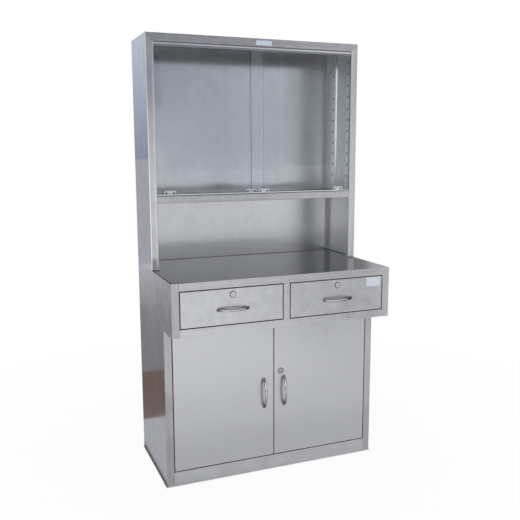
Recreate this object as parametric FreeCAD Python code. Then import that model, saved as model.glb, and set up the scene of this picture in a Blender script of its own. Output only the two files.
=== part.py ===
import FreeCAD, Part
import math
import os

# Clinic cabinet in folded stainless sheet, for syringes and instruments: a base with two drawers over a
# two-door cupboard, and a shallower hutch on it with a sliding-glass case over an open niche.
# Millimetres, +Z up, front towards -Y, origin on the floor under the middle of the whole.

V = FreeCAD.Vector
X = V(1, 0, 0)
Y = V(0, 1, 0)
Z = V(0, 0, 1)

# Overall sizes
WIDTH = 900.0               # over the side walls
HEIGHT = 1730.0             # floor to hutch top
WORKTOP_HEIGHT = 830.0      # floor to the working surface
BOX_HEIGHT = 200.0          # drawer box with its worktop
BOX_DEPTH = 535.0           # worktop and drawer box, front to back
BASE_DEPTH = 410.0          # cupboard under the box
HUTCH_DEPTH = 250.0
NICHE_HEIGHT = 262.0        # worktop to the hutch shelf's rail
PLINTH_TOP = 57.0           # floor to the cupboard's inside floor
FOOT_HEIGHT = 5.0           # glide under the carcass

# Folded sheet
SHEET = 1.2                 # also the outside radius of a fold
STILE = 30.0                # face width of the upright front edges
RAIL = 30.0                 # face height of the top and bottom front edges
SHELF_RAIL = 28.0           # face height of the hutch shelf
RETURN = 20.0               # folded edge behind a stile, a rail, a door and a drawer front
REAR_FLANGE = 15.0          # folded edge that holds a back panel
RELIEF = 0.8                # notch between neighbouring folds
FRONT_GAP = 3.0             # reveal round drawers and doors
DOOR_TOP_GAP = 4.0          # door to the underside of the drawer box
PAN_LIP = 12.0              # rear lip of a door or drawer-front pan
LINER_INSET = 2.0           # liner sheet inside the pan's outline

# Feet and the flanges along the walls' bottom edges
FOOT_FLANGE = 25.0
FOOT_RADIUS = 11.0
FOOT_INSET = 45.0           # glide from the stile's return and from the back panel
HUTCH_FLANGE = 12.0

# Cupboard shelf
SHELF_RISE = 283.0          # cupboard floor to the shelf's top
SHELF_SETBACK = 70.0        # behind the cupboard's front
SHELF_FOLD = 20.0
SHELF_SIDE_GAP = 0.5
BRACKET_LEG = 20.0
BRACKET_LENGTH = 30.0
BRACKET_INSET = 40.0

# Doors
PIVOT_INSET = 20.0          # pivot from the door's outer edge
PIVOT_SETBACK = 9.0         # pivot behind the door's front
PIN_RADIUS = 4.0
PIVOT_BLOCK_GAP = 0.3       # pivot block to the plinth
PIVOT_BLOCK_HEIGHT = 9.0
PIVOT_LEDGE = 1.7           # block beyond its boss, which stands in the deck
DOOR_HANDLE_DROP = 296.0    # handle's middle below the door's top
DOOR_HANDLE_INSET = 42.0    # handle from the meeting edge
DOOR_LOCK_DROP = 213.0
DOOR_LOCK_INSET = 29.5
CATCH_LENGTH = 40.0
CATCH_DEPTH = 14.0
CATCH_HEIGHT = 16.0
CATCH_INSET = 12.0          # catch from the meeting edge
CATCH_GAP = 0.4             # magnet to the closed door's liner

# Bow handles
HANDLE_SPAN = 118.0         # between the middles of the feet
HANDLE_RISE = 24.0          # bar's middle line above the face
HANDLE_WIDTH = 9.0          # bar at its middle
HANDLE_THICK = 8.0
HANDLE_FOOT_WIDTH = 10.0
HANDLE_FOOT_THICK = 9.0
HANDLE_SECTIONS = 13
HANDLE_SIDES = 12           # flats round the bar

# Cam locks
BEZEL_RADIUS = 11.5
BEZEL = 2.5
BARREL_SIDE = 17.0          # square barrel behind the bezel
PLUG_RADIUS = 6.0
PLUG_RECESS = 0.5           # plug's face below the bezel's
BARREL_END = 3.0            # barrel behind the panel
KEY_SLOT_WIDTH = 1.4
KEY_SLOT_LENGTH = 7.0
KEY_SLOT_DEPTH = 5.0
CAM = 2.0
CAM_WIDTH = 13.0
CAM_TIP = 9.0               # cam's width at its end
CAM_GAP = 0.3               # cam to the barrel's end
DRAWER_CAM_REACH = 32.0
DOOR_CAM_REACH = 45.0
DRAWER_LOCK_DROP = 22.5     # lock below the drawer front's top
DRAWER_HANDLE_DROP = 77.0   # handle below the drawer front's top

# Drawers and their slides
DIVIDER = 26.0              # stile between the drawers
TRAY_BOTTOM_GAP = 8.0       # tray above the bottom rail
TRAY_TOP_GAP = 35.0         # tray's rim below the top rail
TRAY_BACK_GAP = 55.0        # tray to the back panel
SLIDE_THICK = 12.7
SLIDE_HEIGHT = 45.0
SLIDE_START = 4.0           # behind the stile's return
SLIDE_BACK_GAP = 60.0
SLIDE_REACH = 10.0          # flange length of the fixed member
BRACKET_MARGIN = 8.0        # slide bracket beyond the slide, above and below

# Sliding glass and its running gear
PANE = 5.0
PANE_OVERLAP = 56.0
PANE_END_GAP = 1.0
PANE_LIFT = 6.0             # room above a pane, to lift it out
TRACK_SETBACK = 0.6
TRACK_END_GAP = 0.5
TRACK_BASE = 1.0
TRACK_LIP = 5.0             # groove depth of the bottom track
TRACK_WALL = 1.5
GROOVE = 9.0                # bottom groove width
TOP_GROOVE = 6.5
TOP_TRACK = 13.0            # top track's height
WHEEL_RADIUS = 4.5
WHEEL_WIDTH = 4.4
AXLE_RADIUS = 1.25
WHEEL_GAP = 0.3             # wheel to its groove's floor and to the shoe
SHOE_LENGTH = 47.0
SHOE_INSET = 30.0           # shoe from the pane's end
SHOE_WALL = 1.2
SHOE_GRIP = 8.0             # shoe up the glass
SHOE_CORNER = 2.5

# Shelf pilasters in the glass case
PILASTER_WIDTH = 25.0
PILASTER_DEPTH = 9.6
PILASTER_INSETS = (60.0, 187.0)     # middles, in front of the hutch's back
PILASTER_END_GAP = 0.5
SLOT_PITCH = 48.0
SLOT_START = 58.5           # first slot above the hutch shelf
SLOT_WIDTH = 12.0
SLOT_HEIGHT = 8.0

# Clearances
RUN_CLEAR = 0.05            # pin or plug in its bore
SEAT_CLEAR = 0.1            # fixed piece in its hole or groove
SLIDE_CLEAR = 0.35          # between nested slide members

# Places worked out from the sizes
HANDLE_REACH = HANDLE_RISE + HANDLE_THICK / 2
BACK = (BOX_DEPTH + HANDLE_REACH) / 2
BOX_FRONT = BACK - BOX_DEPTH
BASE_FRONT = BACK - BASE_DEPTH
HUTCH_FRONT = BACK - HUTCH_DEPTH
PANEL_FACE = BACK - 2 * SHEET
HALF = WIDTH / 2
INNER = HALF - SHEET
OPENING = HALF - STILE
BOX_BOTTOM = WORKTOP_HEIGHT - BOX_HEIGHT
WORKTOP_UNDER = WORKTOP_HEIGHT - SHEET
NICHE_TOP = WORKTOP_HEIGHT + NICHE_HEIGHT
SHELF_TOP = NICHE_TOP + SHELF_RAIL
TOP_UNDER = HEIGHT - SHEET
TOP_RAIL = HEIGHT - RAIL
PAN_DEPTH = RETURN - SHEET
DOOR_BOTTOM = PLINTH_TOP + FRONT_GAP
DOOR_TOP = BOX_BOTTOM - DOOR_TOP_GAP
DOOR_OUTER = OPENING - FRONT_GAP
DOOR_MEETING = FRONT_GAP / 2
PIVOT_X = DOOR_OUTER - PIVOT_INSET
PIVOT_Y = BASE_FRONT + PIVOT_SETBACK
PIVOT_BLOCK = 2 * (PIVOT_SETBACK - SHEET - PIVOT_BLOCK_GAP)
PIVOT_BOSS = PIVOT_BLOCK - 2 * PIVOT_LEDGE
BAY_LEFT = -OPENING
BAY_RIGHT = -DIVIDER / 2
BAY_MIDDLE = (BAY_LEFT + BAY_RIGHT) / 2
BAY_BOTTOM = BOX_BOTTOM + RAIL
BAY_TOP = WORKTOP_HEIGHT - RAIL
BAY_PITCH = OPENING + DIVIDER / 2
TRAY_X = (BAY_LEFT + SLIDE_THICK, BAY_RIGHT - SLIDE_THICK)
TRAY_Z = (BAY_BOTTOM + TRAY_BOTTOM_GAP, BAY_TOP - TRAY_TOP_GAP)
SLIDE_Z = (TRAY_Z[0] + TRAY_Z[1]) / 2
SLIDE_Y = (BOX_FRONT + RETURN + SLIDE_START, PANEL_FACE - SLIDE_BACK_GAP)
TRACK_FRONT = HUTCH_FRONT + TRACK_SETBACK
TRACK_PITCH = GROOVE + TRACK_WALL
FRONT_PANE_Y = TRACK_FRONT + TRACK_WALL + GROOVE / 2
REAR_PANE_Y = FRONT_PANE_Y + TRACK_PITCH
AXLE_Z = SHELF_TOP + TRACK_BASE + WHEEL_GAP + WHEEL_RADIUS
SHOE_FLOOR = AXLE_Z + WHEEL_RADIUS + WHEEL_GAP
PANE_BOTTOM = SHOE_FLOOR + SHOE_WALL
PANE_TOP = TOP_RAIL - TRACK_WALL - PANE_LIFT


# Helpers

def unit(vector):
    return vector * (1.0 / vector.Length)


def block(x, y, z):
    """Box between pairs of low and high values."""
    return Part.makeBox(x[1] - x[0], y[1] - y[0], z[1] - z[0], V(x[0], y[0], z[0]))


def whole(shape):
    """The single solid of a result, with its split faces merged."""
    clean = shape.removeSplitter()
    return clean.Solids[0] if len(clean.Solids) == 1 else clean


def joined(first, *others):
    return whole(first.fuse(list(others)))


def cut(shape, *tools):
    return whole(shape.cut(Part.makeCompound(list(tools))))


def mirrored(shape):
    """The same piece on the other side of the cabinet's middle plane."""
    return shape.mirror(V(0, 0, 0), X)


def moved(shape, vector):
    copy = shape.copy()
    copy.translate(vector)
    return copy


def outline(points, radii):
    """Closed face through points, with corner i rounded to radii[i] and 0 for a sharp one."""
    starts = []
    ends = []
    edges = []
    for i, (point, radius) in enumerate(zip(points, radii)):
        back = unit(points[i - 1] - point)
        ahead = unit(points[(i + 1) % len(points)] - point)
        half = back.getAngle(ahead) / 2
        reach = radius / math.tan(half)
        starts.append(point + back * reach)
        ends.append(point + ahead * reach)
        if radius > 0:
            middle = point + unit(back + ahead) * (radius / math.sin(half) - radius)
            edges.append(Part.Arc(starts[i], middle, ends[i]).toShape())
    for i in range(len(points)):
        edges.append(Part.LineSegment(ends[i - 1], starts[i]).toShape())
    return Part.Face(Part.Wire(Part.__sortEdges__(edges)))


def plate(points, along):
    """Sharp-cornered outline drawn along a vector."""
    return outline(points, [0] * len(points)).extrude(along)


def folded(line, along, rounded=True):
    """Sheet folded along the points of its outer skin, drawn along a vector.

    The metal lies on the side that the drawing direction crossed with the line points to, every fold
    closes towards that side, and a fold's outside may be rounded.
    """
    axis = unit(along)
    runs = [unit(b - a) for a, b in zip(line, line[1:])]
    normals = [axis.cross(run) * SHEET for run in runs]
    folds = [before + after for before, after in zip(normals, normals[1:])]
    inner = [line[0] + normals[0]]
    inner += [corner + fold for corner, fold in zip(line[1:-1], folds)]
    inner.append(line[-1] + normals[-1])
    radius = SHEET if rounded else 0
    radii = [0] + [radius] * len(folds) + [0] + [0] * len(inner)
    return outline(line + inner[::-1], radii).extrude(along)


def hole(place, axis, radius, length):
    """Round cutter, centred on its place."""
    return Part.makeCylinder(radius, length, place - axis * (length / 2), axis)


# Carcass of the base

def side_wall(front, bottom, top):
    """Left wall with rear flange, front stile and the stile's return."""
    line = [
        V(-HALF + REAR_FLANGE, BACK, bottom),
        V(-HALF, BACK, bottom),
        V(-HALF, front, bottom),
        V(-OPENING, front, bottom),
        V(-OPENING, front + RETURN, bottom),
    ]
    return folded(line, Z * (top - bottom))


def wall_flange(front, level, width):
    """Flange folded inwards along the foot of the left wall."""
    depth = (front + RETURN + RELIEF, PANEL_FACE - RELIEF)
    return block((-HALF, -HALF + width), depth, (level, level + SHEET))


def foot_places():
    x = -INNER + FOOT_FLANGE / 2
    return [V(x, y, 0) for y in (BASE_FRONT + RETURN + FOOT_INSET, PANEL_FACE - FOOT_INSET)]


def base_side():
    lower = side_wall(BASE_FRONT, FOOT_HEIGHT, BOX_BOTTOM)
    upper = side_wall(BOX_FRONT, BOX_BOTTOM, WORKTOP_UNDER)
    flange = wall_flange(BASE_FRONT, FOOT_HEIGHT, FOOT_FLANGE)
    return joined(lower, upper, flange)


def back_panel(bottom, top):
    """Back sheet against the walls' rear flanges."""
    return block((-INNER, INNER), (PANEL_FACE, PANEL_FACE + SHEET), (bottom, top))


def deck(line, front, under):
    """Deck folded along (y, z) points between the stiles, widened to the walls behind their returns."""
    sheet = folded([V(-OPENING, y, z) for y, z in line], X * (2 * OPENING))
    wing = block((-INNER, -OPENING), (front + RETURN + RELIEF, PANEL_FACE), (under, under + SHEET))
    return joined(sheet, wing, mirrored(wing))


def post(place, side, z_range):
    """Square upright prism round a place."""
    half = side / 2
    return block((place.x - half, place.x + half), (place.y - half, place.y + half), z_range)


def pivot_holes(level):
    """Square holes through a deck, where the pivot blocks snap in."""
    hole_z = (level - 2 * SHEET, level + 2 * SHEET)
    left = post(V(-PIVOT_X, PIVOT_Y, level), PIVOT_BOSS + 2 * SEAT_CLEAR, hole_z)
    return [left, mirrored(left)]


def base_floor():
    """Cupboard floor; its front fold is the plinth."""
    line = [
        (PANEL_FACE, PLINTH_TOP),
        (BASE_FRONT, PLINTH_TOP),
        (BASE_FRONT, FOOT_HEIGHT),
        (BASE_FRONT + RETURN, FOOT_HEIGHT),
    ]
    return cut(deck(line, BASE_FRONT, PLINTH_TOP - SHEET), *pivot_holes(PLINTH_TOP))


def drawer_deck():
    """Bottom of the drawer box; its front fold is the rail under the drawers."""
    line = [
        (BOX_FRONT + RETURN, BAY_BOTTOM),
        (BOX_FRONT, BAY_BOTTOM),
        (BOX_FRONT, BOX_BOTTOM),
        (PANEL_FACE, BOX_BOTTOM),
    ]
    return cut(deck(line, BOX_FRONT, BOX_BOTTOM), *pivot_holes(BOX_BOTTOM))


def worktop():
    """Top sheet over the walls; its front fold is the rail over the drawers."""
    line = [
        V(-OPENING, BACK, WORKTOP_HEIGHT),
        V(-OPENING, BOX_FRONT, WORKTOP_HEIGHT),
        V(-OPENING, BOX_FRONT, BAY_TOP),
        V(-OPENING, BOX_FRONT + RETURN, BAY_TOP),
    ]
    wing = block((-HALF, -OPENING), (BOX_FRONT, BACK), (WORKTOP_UNDER, WORKTOP_HEIGHT))
    return joined(folded(line, X * (2 * OPENING)), wing, mirrored(wing))


def drawer_divider():
    """Channel between the drawers, notched round the rails' folded edges."""
    half = DIVIDER / 2
    bottom = BOX_BOTTOM + SHEET
    line = [
        V(-half, PANEL_FACE, bottom),
        V(-half, BOX_FRONT, bottom),
        V(half, BOX_FRONT, bottom),
        V(half, PANEL_FACE, bottom),
    ]
    channel = folded(line, Z * (WORKTOP_UNDER - bottom))
    notch_x = (-DIVIDER, DIVIDER)
    notch_y = (BOX_FRONT - RETURN, BOX_FRONT + RETURN + RELIEF)
    below = block(notch_x, notch_y, (BOX_BOTTOM, BAY_BOTTOM))
    above = block(notch_x, notch_y, (BAY_TOP, WORKTOP_HEIGHT))
    return cut(channel, below, above)


def base_shelf():
    level = PLINTH_TOP + SHELF_RISE
    front = BASE_FRONT + SHELF_SETBACK
    half = INNER - SHELF_SIDE_GAP
    line = [
        V(-half, PANEL_FACE - SHELF_SIDE_GAP, level),
        V(-half, front, level),
        V(-half, front, level - SHELF_FOLD),
        V(-half, front + RETURN / 2, level - SHELF_FOLD),
    ]
    return folded(line, X * (2 * half))


def base_shelf_brackets():
    """Angle brackets on the walls, two a side."""
    level = PLINTH_TOP + SHELF_RISE - SHEET
    front = BASE_FRONT + SHELF_SETBACK + BRACKET_INSET
    brackets = []
    for y in (front, PANEL_FACE - BRACKET_INSET - BRACKET_LENGTH):
        line = [
            V(-INNER, y, level - BRACKET_LEG),
            V(-INNER, y, level),
            V(-INNER + BRACKET_LEG, y, level),
        ]
        angle = folded(line, Y * BRACKET_LENGTH, rounded=False)
        brackets += [angle, mirrored(angle)]
    return Part.makeCompound(brackets)


def levelling_feet():
    """Glides under the side walls' bottom flanges."""
    left = [Part.makeCylinder(FOOT_RADIUS, FOOT_HEIGHT, place) for place in foot_places()]
    return Part.makeCompound(left + [mirrored(foot) for foot in left])


def magnetic_catches():
    """Catches under the drawer deck, one behind each door near the meeting edges."""
    front = BASE_FRONT + RETURN + CATCH_GAP
    x = (-DOOR_MEETING - CATCH_INSET - CATCH_LENGTH, -DOOR_MEETING - CATCH_INSET)
    body = block(x, (front, front + CATCH_DEPTH), (BOX_BOTTOM - CATCH_HEIGHT, BOX_BOTTOM))
    low = [edge for edge in body.Edges if edge.BoundBox.ZMax < BOX_BOTTOM - CATCH_HEIGHT / 2]
    body = body.makeChamfer(SHEET, low)
    return Part.makeCompound([body, mirrored(body)])


# Drawers; the left one is drawn, the right one is the same a bay further

def channel(base_x, reach, z_range, y_range):
    """Channel with its back on base_x and its flanges reaching away from it, either way."""
    side = math.copysign(1, reach)
    points = [
        V(abs(reach), y_range[0], z_range[0]),
        V(0, y_range[0], z_range[0]),
        V(0, y_range[0], z_range[1]),
        V(abs(reach), y_range[0], z_range[1]),
    ]
    shape = folded(points, Y * (y_range[1] - y_range[0]), rounded=False)
    shape = shape if side > 0 else mirrored(shape)
    return moved(shape, X * base_x)


def slide_pair(start, reach, nest):
    """A slide member on each side of the drawer, start from the bay's wall, in the nest-th size."""
    half = SLIDE_HEIGHT / 2 - nest * (SHEET + SLIDE_CLEAR)
    z_range = (SLIDE_Z - half, SLIDE_Z + half)
    left = channel(BAY_LEFT + start, reach, z_range, SLIDE_Y)
    right = channel(BAY_RIGHT - start, -reach, z_range, SLIDE_Y)
    return Part.makeCompound([left, right])


def outer_slides():
    return slide_pair(0, SLIDE_REACH, 0)


def middle_slides():
    return slide_pair(SHEET + SLIDE_CLEAR, SLIDE_REACH - SHEET, 1)


def inner_slides():
    """Members on the tray, facing the others."""
    depth = SLIDE_THICK - 2 * (SHEET + SLIDE_CLEAR)
    return slide_pair(SLIDE_THICK, -depth, 2)


def slide_bracket():
    """Channel that carries a slide out from the left wall to the stile's inner line."""
    half = SLIDE_HEIGHT / 2 + BRACKET_MARGIN
    return channel(BAY_LEFT, -(STILE - SHEET), (SLIDE_Z - half, SLIDE_Z + half), SLIDE_Y)


def pan(x, front, z):
    """Front panel: a sheet with its edges folded back and in, open in the middle of its rear."""
    shell = block(x, (front, front + PAN_DEPTH), z)
    shell = shell.makeFillet(SHEET, [edge for edge in shell.Edges if edge.BoundBox.YMax < front + SHEET])
    hollow = block((x[0] + SHEET, x[1] - SHEET), (front + SHEET, front + PAN_DEPTH - SHEET),
                   (z[0] + SHEET, z[1] - SHEET))
    window = block((x[0] + PAN_LIP, x[1] - PAN_LIP), (front + SHEET, front + PAN_DEPTH),
                   (z[0] + PAN_LIP, z[1] - PAN_LIP))
    return cut(shell, hollow, window)


def drawer_front_box():
    return ((BAY_LEFT + FRONT_GAP, BAY_RIGHT - FRONT_GAP), (BAY_BOTTOM + FRONT_GAP, BAY_TOP - FRONT_GAP))


def drawer_lock_place():
    return V(BAY_MIDDLE, BOX_FRONT, BAY_TOP - FRONT_GAP - DRAWER_LOCK_DROP)


def lock_prism(place, side, y_range):
    """Square prism through a panel, y_range behind its face."""
    half = side / 2
    return block((place.x - half, place.x + half), (place.y + y_range[0], place.y + y_range[1]),
                 (place.z - half, place.z + half))


def lock_hole(place):
    return lock_prism(place, BARREL_SIDE + 2 * SEAT_CLEAR, (-RETURN, 2 * RETURN))


def drawer_front():
    x, z = drawer_front_box()
    return cut(pan(x, BOX_FRONT, z), lock_hole(drawer_lock_place()))


def drawer_tray():
    """Folded tray whose front wall closes the drawer front's rear."""
    start = BOX_FRONT + PAN_DEPTH
    depth = PANEL_FACE - TRAY_BACK_GAP - start
    line = [
        V(TRAY_X[1], start, TRAY_Z[1]),
        V(TRAY_X[1], start, TRAY_Z[0]),
        V(TRAY_X[0], start, TRAY_Z[0]),
        V(TRAY_X[0], start, TRAY_Z[1]),
    ]
    trough = folded(line, Y * depth, rounded=False)
    inside_x = (TRAY_X[0] + SHEET / 2, TRAY_X[1] - SHEET / 2)
    rear = block(inside_x, (start + depth - SHEET, start + depth), (TRAY_Z[0] + SHEET / 2, TRAY_Z[1]))
    x, z = drawer_front_box()
    wall = block((x[0] + LINER_INSET, x[1] - LINER_INSET), (start, start + SHEET),
                 (z[0] + LINER_INSET, z[1] - LINER_INSET))
    return cut(joined(trough, rear, wall), lock_hole(drawer_lock_place()))


def bow_handle(middle, length_way, width_way):
    """Bow pull: an elliptic arch of nearly round bar off the face, stouter at its feet."""
    out = V(0, -1, 0)
    turns = [2 * math.pi * k / HANDLE_SIDES for k in range(HANDLE_SIDES)]
    sections = []
    for i in range(HANDLE_SECTIONS):
        angle = math.pi * i / (HANDLE_SECTIONS - 1)
        cosine = math.cos(angle)
        sine = math.sin(angle)
        centre = middle - length_way * (cosine * HANDLE_SPAN / 2) + out * (sine * HANDLE_RISE)
        run = unit(length_way * (sine * HANDLE_SPAN / 2) + out * (cosine * HANDLE_RISE))
        swell = sine ** 2
        wide = width_way * ((HANDLE_FOOT_WIDTH + (HANDLE_WIDTH - HANDLE_FOOT_WIDTH) * swell) / 2)
        thick = run.cross(width_way) * ((HANDLE_FOOT_THICK + (HANDLE_THICK - HANDLE_FOOT_THICK) * swell) / 2)
        ring = [centre + wide * math.cos(turn) + thick * math.sin(turn) for turn in turns]
        sections.append(Part.makePolygon(ring + ring[:1]))
    return Part.makeLoft(sections, True, True)


def drawer_handle():
    place = V(BAY_MIDDLE, BOX_FRONT, BAY_TOP - FRONT_GAP - DRAWER_HANDLE_DROP)
    return bow_handle(place, X, Z)


# Cam locks, drawn from the front face of the panel that they pass through

def lock_barrel(place):
    """Square barrel through the panel, with its round bezel on the face."""
    bezel = Part.makeCylinder(BEZEL_RADIUS, BEZEL, place - Y * BEZEL, Y)
    barrel = lock_prism(place, BARREL_SIDE, (0, RETURN + BARREL_END))
    return cut(joined(bezel, barrel), hole(place, Y, PLUG_RADIUS + RUN_CLEAR, 4 * RETURN))


def lock_plug(place, reach_way, reach):
    """Key plug that turns in the barrel, and the cam on its rear end."""
    face = PLUG_RECESS - BEZEL
    end = RETURN + BARREL_END + CAM_GAP
    plug = Part.makeCylinder(PLUG_RADIUS, end - face, place + Y * face, Y)
    slot = block((place.x - KEY_SLOT_WIDTH / 2, place.x + KEY_SLOT_WIDTH / 2),
                 (place.y + face, place.y + face + KEY_SLOT_DEPTH),
                 (place.z - KEY_SLOT_LENGTH / 2, place.z + KEY_SLOT_LENGTH / 2))
    base = place + Y * end
    tail = base - reach_way * (CAM_WIDTH / 2)
    tip = base + reach_way * reach
    across = reach_way.cross(Y)
    wide = across * (CAM_WIDTH / 2)
    narrow = across * (CAM_TIP / 2)
    arm = plate([tail - wide, base - wide, tip - narrow, tip + narrow, base + wide, tail + wide], Y * CAM)
    return Part.makeCompound([cut(plug, slot), arm])


# Doors; the left one is drawn, the right one is its mirror image with a lock

def door_box():
    return ((-DOOR_OUTER, -DOOR_MEETING), (DOOR_BOTTOM, DOOR_TOP))


def door_skin():
    x, z = door_box()
    return pan(x, BASE_FRONT, z)


def door_liner():
    x, z = door_box()
    return block((x[0] + LINER_INSET, x[1] - LINER_INSET), (BASE_FRONT + PAN_DEPTH, BASE_FRONT + RETURN),
                 (z[0] + LINER_INSET, z[1] - LINER_INSET))


def door_handle():
    place = V(-DOOR_MEETING - DOOR_HANDLE_INSET, BASE_FRONT, DOOR_TOP - DOOR_HANDLE_DROP)
    return bow_handle(place, Z, X)


def door_pivot_pins():
    """Stub pins on the door's top and bottom folds, up and down into the pivot blocks."""
    reach = SHEET + PIVOT_BLOCK_HEIGHT
    spans = ((PLINTH_TOP - reach, DOOR_BOTTOM), (DOOR_TOP, BOX_BOTTOM + reach))
    return Part.makeCompound([Part.makeCylinder(PIN_RADIUS, high - low, V(-PIVOT_X, PIVOT_Y, low))
                              for low, high in spans])


def door_pivot_blocks():
    """Nylon bearing blocks, snapped into the drawer deck from above and the cupboard floor from below."""
    place = V(-PIVOT_X, PIVOT_Y, 0)
    blocks = []
    for level, way in ((BOX_BOTTOM, 1), (PLINTH_TOP, -1)):
        under = level + way * SHEET
        end = under + way * PIVOT_BLOCK_HEIGHT
        body = post(place, PIVOT_BLOCK, sorted((under, end)))
        boss = post(place, PIVOT_BOSS, sorted((level, under)))
        bore = hole(place + Z * level, Z, PIN_RADIUS + RUN_CLEAR, 4 * PIVOT_BLOCK_HEIGHT)
        bearing = cut(joined(body, boss), bore)
        blocks += [bearing, mirrored(bearing)]
    return Part.makeCompound(blocks)


def door_lock_place():
    return V(DOOR_MEETING + DOOR_LOCK_INSET, BASE_FRONT, DOOR_TOP - DOOR_LOCK_DROP)


# Hutch

def hutch_side():
    """Left wall of the hutch, its stile mitred to meet the top rail."""
    wall = side_wall(HUTCH_FRONT, WORKTOP_HEIGHT, TOP_UNDER)
    flange = wall_flange(HUTCH_FRONT, WORKTOP_HEIGHT, HUTCH_FLANGE)
    start = HUTCH_FRONT - RETURN
    mitre = [
        V(-OPENING, start, TOP_RAIL),
        V(-OPENING, start, HEIGHT),
        V(-HALF, start, HEIGHT),
    ]
    wedge = plate(mitre, Y * (2 * RETURN + RELIEF))
    return cut(joined(wall, flange), wedge)


def hutch_top():
    """Top sheet over the walls; its front fold is the mitred top rail."""
    line = [
        V(-HALF, BACK, HEIGHT),
        V(-HALF, HUTCH_FRONT, HEIGHT),
        V(-HALF, HUTCH_FRONT, TOP_RAIL),
        V(-HALF, HUTCH_FRONT + RETURN, TOP_RAIL),
    ]
    start = HUTCH_FRONT - RETURN
    corner = [
        V(-HALF, start, TOP_RAIL - RAIL),
        V(-OPENING, start, TOP_RAIL - RAIL),
        V(-OPENING, start, TOP_RAIL),
        V(-HALF + SHEET, start, TOP_UNDER),
        V(-HALF, start, TOP_UNDER),
    ]
    wedge = plate(corner, Y * (3 * RETURN))
    return cut(folded(line, X * WIDTH), wedge, mirrored(wedge))


def hutch_shelf():
    """Floor of the glass case; its front fold is the rail over the niche."""
    line = [
        (PANEL_FACE, SHELF_TOP),
        (HUTCH_FRONT, SHELF_TOP),
        (HUTCH_FRONT, NICHE_TOP),
        (HUTCH_FRONT + RETURN, NICHE_TOP),
    ]
    return deck(line, HUTCH_FRONT, SHELF_TOP - SHEET)


def shelf_pilasters():
    """Slotted channels on the case's walls, two a side."""
    face = -INNER + PILASTER_DEPTH
    bottom = SHELF_TOP
    top = TOP_UNDER - PILASTER_END_GAP
    strips = []
    for inset in PILASTER_INSETS:
        middle = BACK - inset
        low = middle - PILASTER_WIDTH / 2
        high = middle + PILASTER_WIDTH / 2
        line = [V(-INNER, low, bottom), V(face, low, bottom), V(face, high, bottom), V(-INNER, high, bottom)]
        strip = folded(line, Z * (top - bottom), rounded=False)
        count = int((top - bottom - SLOT_START - SLOT_HEIGHT) // SLOT_PITCH) + 1
        slot_y = (middle - SLOT_WIDTH / 2, middle + SLOT_WIDTH / 2)
        levels = [bottom + SLOT_START + k * SLOT_PITCH for k in range(count)]
        slot_x = (face - 2 * SHEET, face + SHEET)
        strip = cut(strip, *[block(slot_x, slot_y, (level, level + SLOT_HEIGHT)) for level in levels])
        strips += [strip, mirrored(strip)]
    return Part.makeCompound(strips)


# Sliding glass

def twin_track(walls, web, edge):
    """Rail with two grooves, drawn as its E section: three walls from a web to an edge level.

    walls are the (y, y) faces of the walls from front to back, web the (outer, inner) levels of the web.
    """
    outer, inner = web
    front, middle, rear = walls
    section = [
        (front[0], outer), (front[0], edge), (front[1], edge), (front[1], inner),
        (middle[0], inner), (middle[0], edge), (middle[1], edge), (middle[1], inner),
        (rear[0], inner), (rear[0], edge), (rear[1], edge), (rear[1], outer),
    ]
    half = OPENING - TRACK_END_GAP
    return plate([V(-half, y, z) for y, z in section], X * (2 * half))


def track_walls(groove):
    """Faces of the three walls beside two grooves centred on the panes."""
    half = groove / 2
    return [
        (FRONT_PANE_Y - half - TRACK_WALL, FRONT_PANE_Y - half),
        (FRONT_PANE_Y + half, REAR_PANE_Y - half),
        (REAR_PANE_Y + half, REAR_PANE_Y + half + TRACK_WALL),
    ]


def glass_bottom_track():
    """Twin-groove rail for the wheels, on the hutch shelf."""
    floor = SHELF_TOP + TRACK_BASE
    return twin_track(track_walls(GROOVE), (SHELF_TOP, floor), floor + TRACK_LIP)


def glass_top_track():
    """Twin-groove guide for the panes' top edges, under the top rail's return."""
    return twin_track(track_walls(TOP_GROOVE), (TOP_RAIL, TOP_RAIL - TRACK_WALL), TOP_RAIL - TOP_TRACK)


def pane_ends(side):
    outer = OPENING - PANE_END_GAP
    return (-outer, PANE_OVERLAP / 2) if side == "left" else (-PANE_OVERLAP / 2, outer)


def glass_pane(side, y):
    return block(pane_ends(side), (y - PANE / 2, y + PANE / 2), (PANE_BOTTOM, PANE_TOP))


def shoe_middles(side):
    low, high = pane_ends(side)
    return (low + SHOE_INSET + SHOE_LENGTH / 2, high - SHOE_INSET - SHOE_LENGTH / 2)


def wheel_places(side, y):
    return [V(middle, y, AXLE_Z) for middle in shoe_middles(side)]


def glass_shoes(side, y):
    """H-section shoes: the glass stands in the upper channel, a wheel runs in the lower one."""
    grip = PANE / 2 + SEAT_CLEAR
    cheek = grip + SHOE_WALL
    bottom = AXLE_Z - AXLE_RADIUS - SHOE_WALL
    top = PANE_BOTTOM + SHOE_GRIP
    shoes = []
    for place in wheel_places(side, y):
        ends = (place.x - SHOE_LENGTH / 2, place.x + SHOE_LENGTH / 2)
        body = block(ends, (y - cheek, y + cheek), (bottom, top))
        boxes = [(edge, edge.BoundBox) for edge in body.Edges]
        upper = [edge for edge, box in boxes if box.YLength > cheek and box.ZMin > PANE_BOTTOM]
        body = body.makeChamfer(SHOE_CORNER, upper)
        glass_channel = block(ends, (y - grip, y + grip), (PANE_BOTTOM, top + SHOE_GRIP))
        wheel_channel = block(ends, (y - grip, y + grip), (bottom - SHOE_GRIP, SHOE_FLOOR))
        axle = hole(place, Y, AXLE_RADIUS, 2 * cheek)
        shoes.append(joined(cut(body, glass_channel, wheel_channel), axle))
    return Part.makeCompound(shoes)


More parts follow.
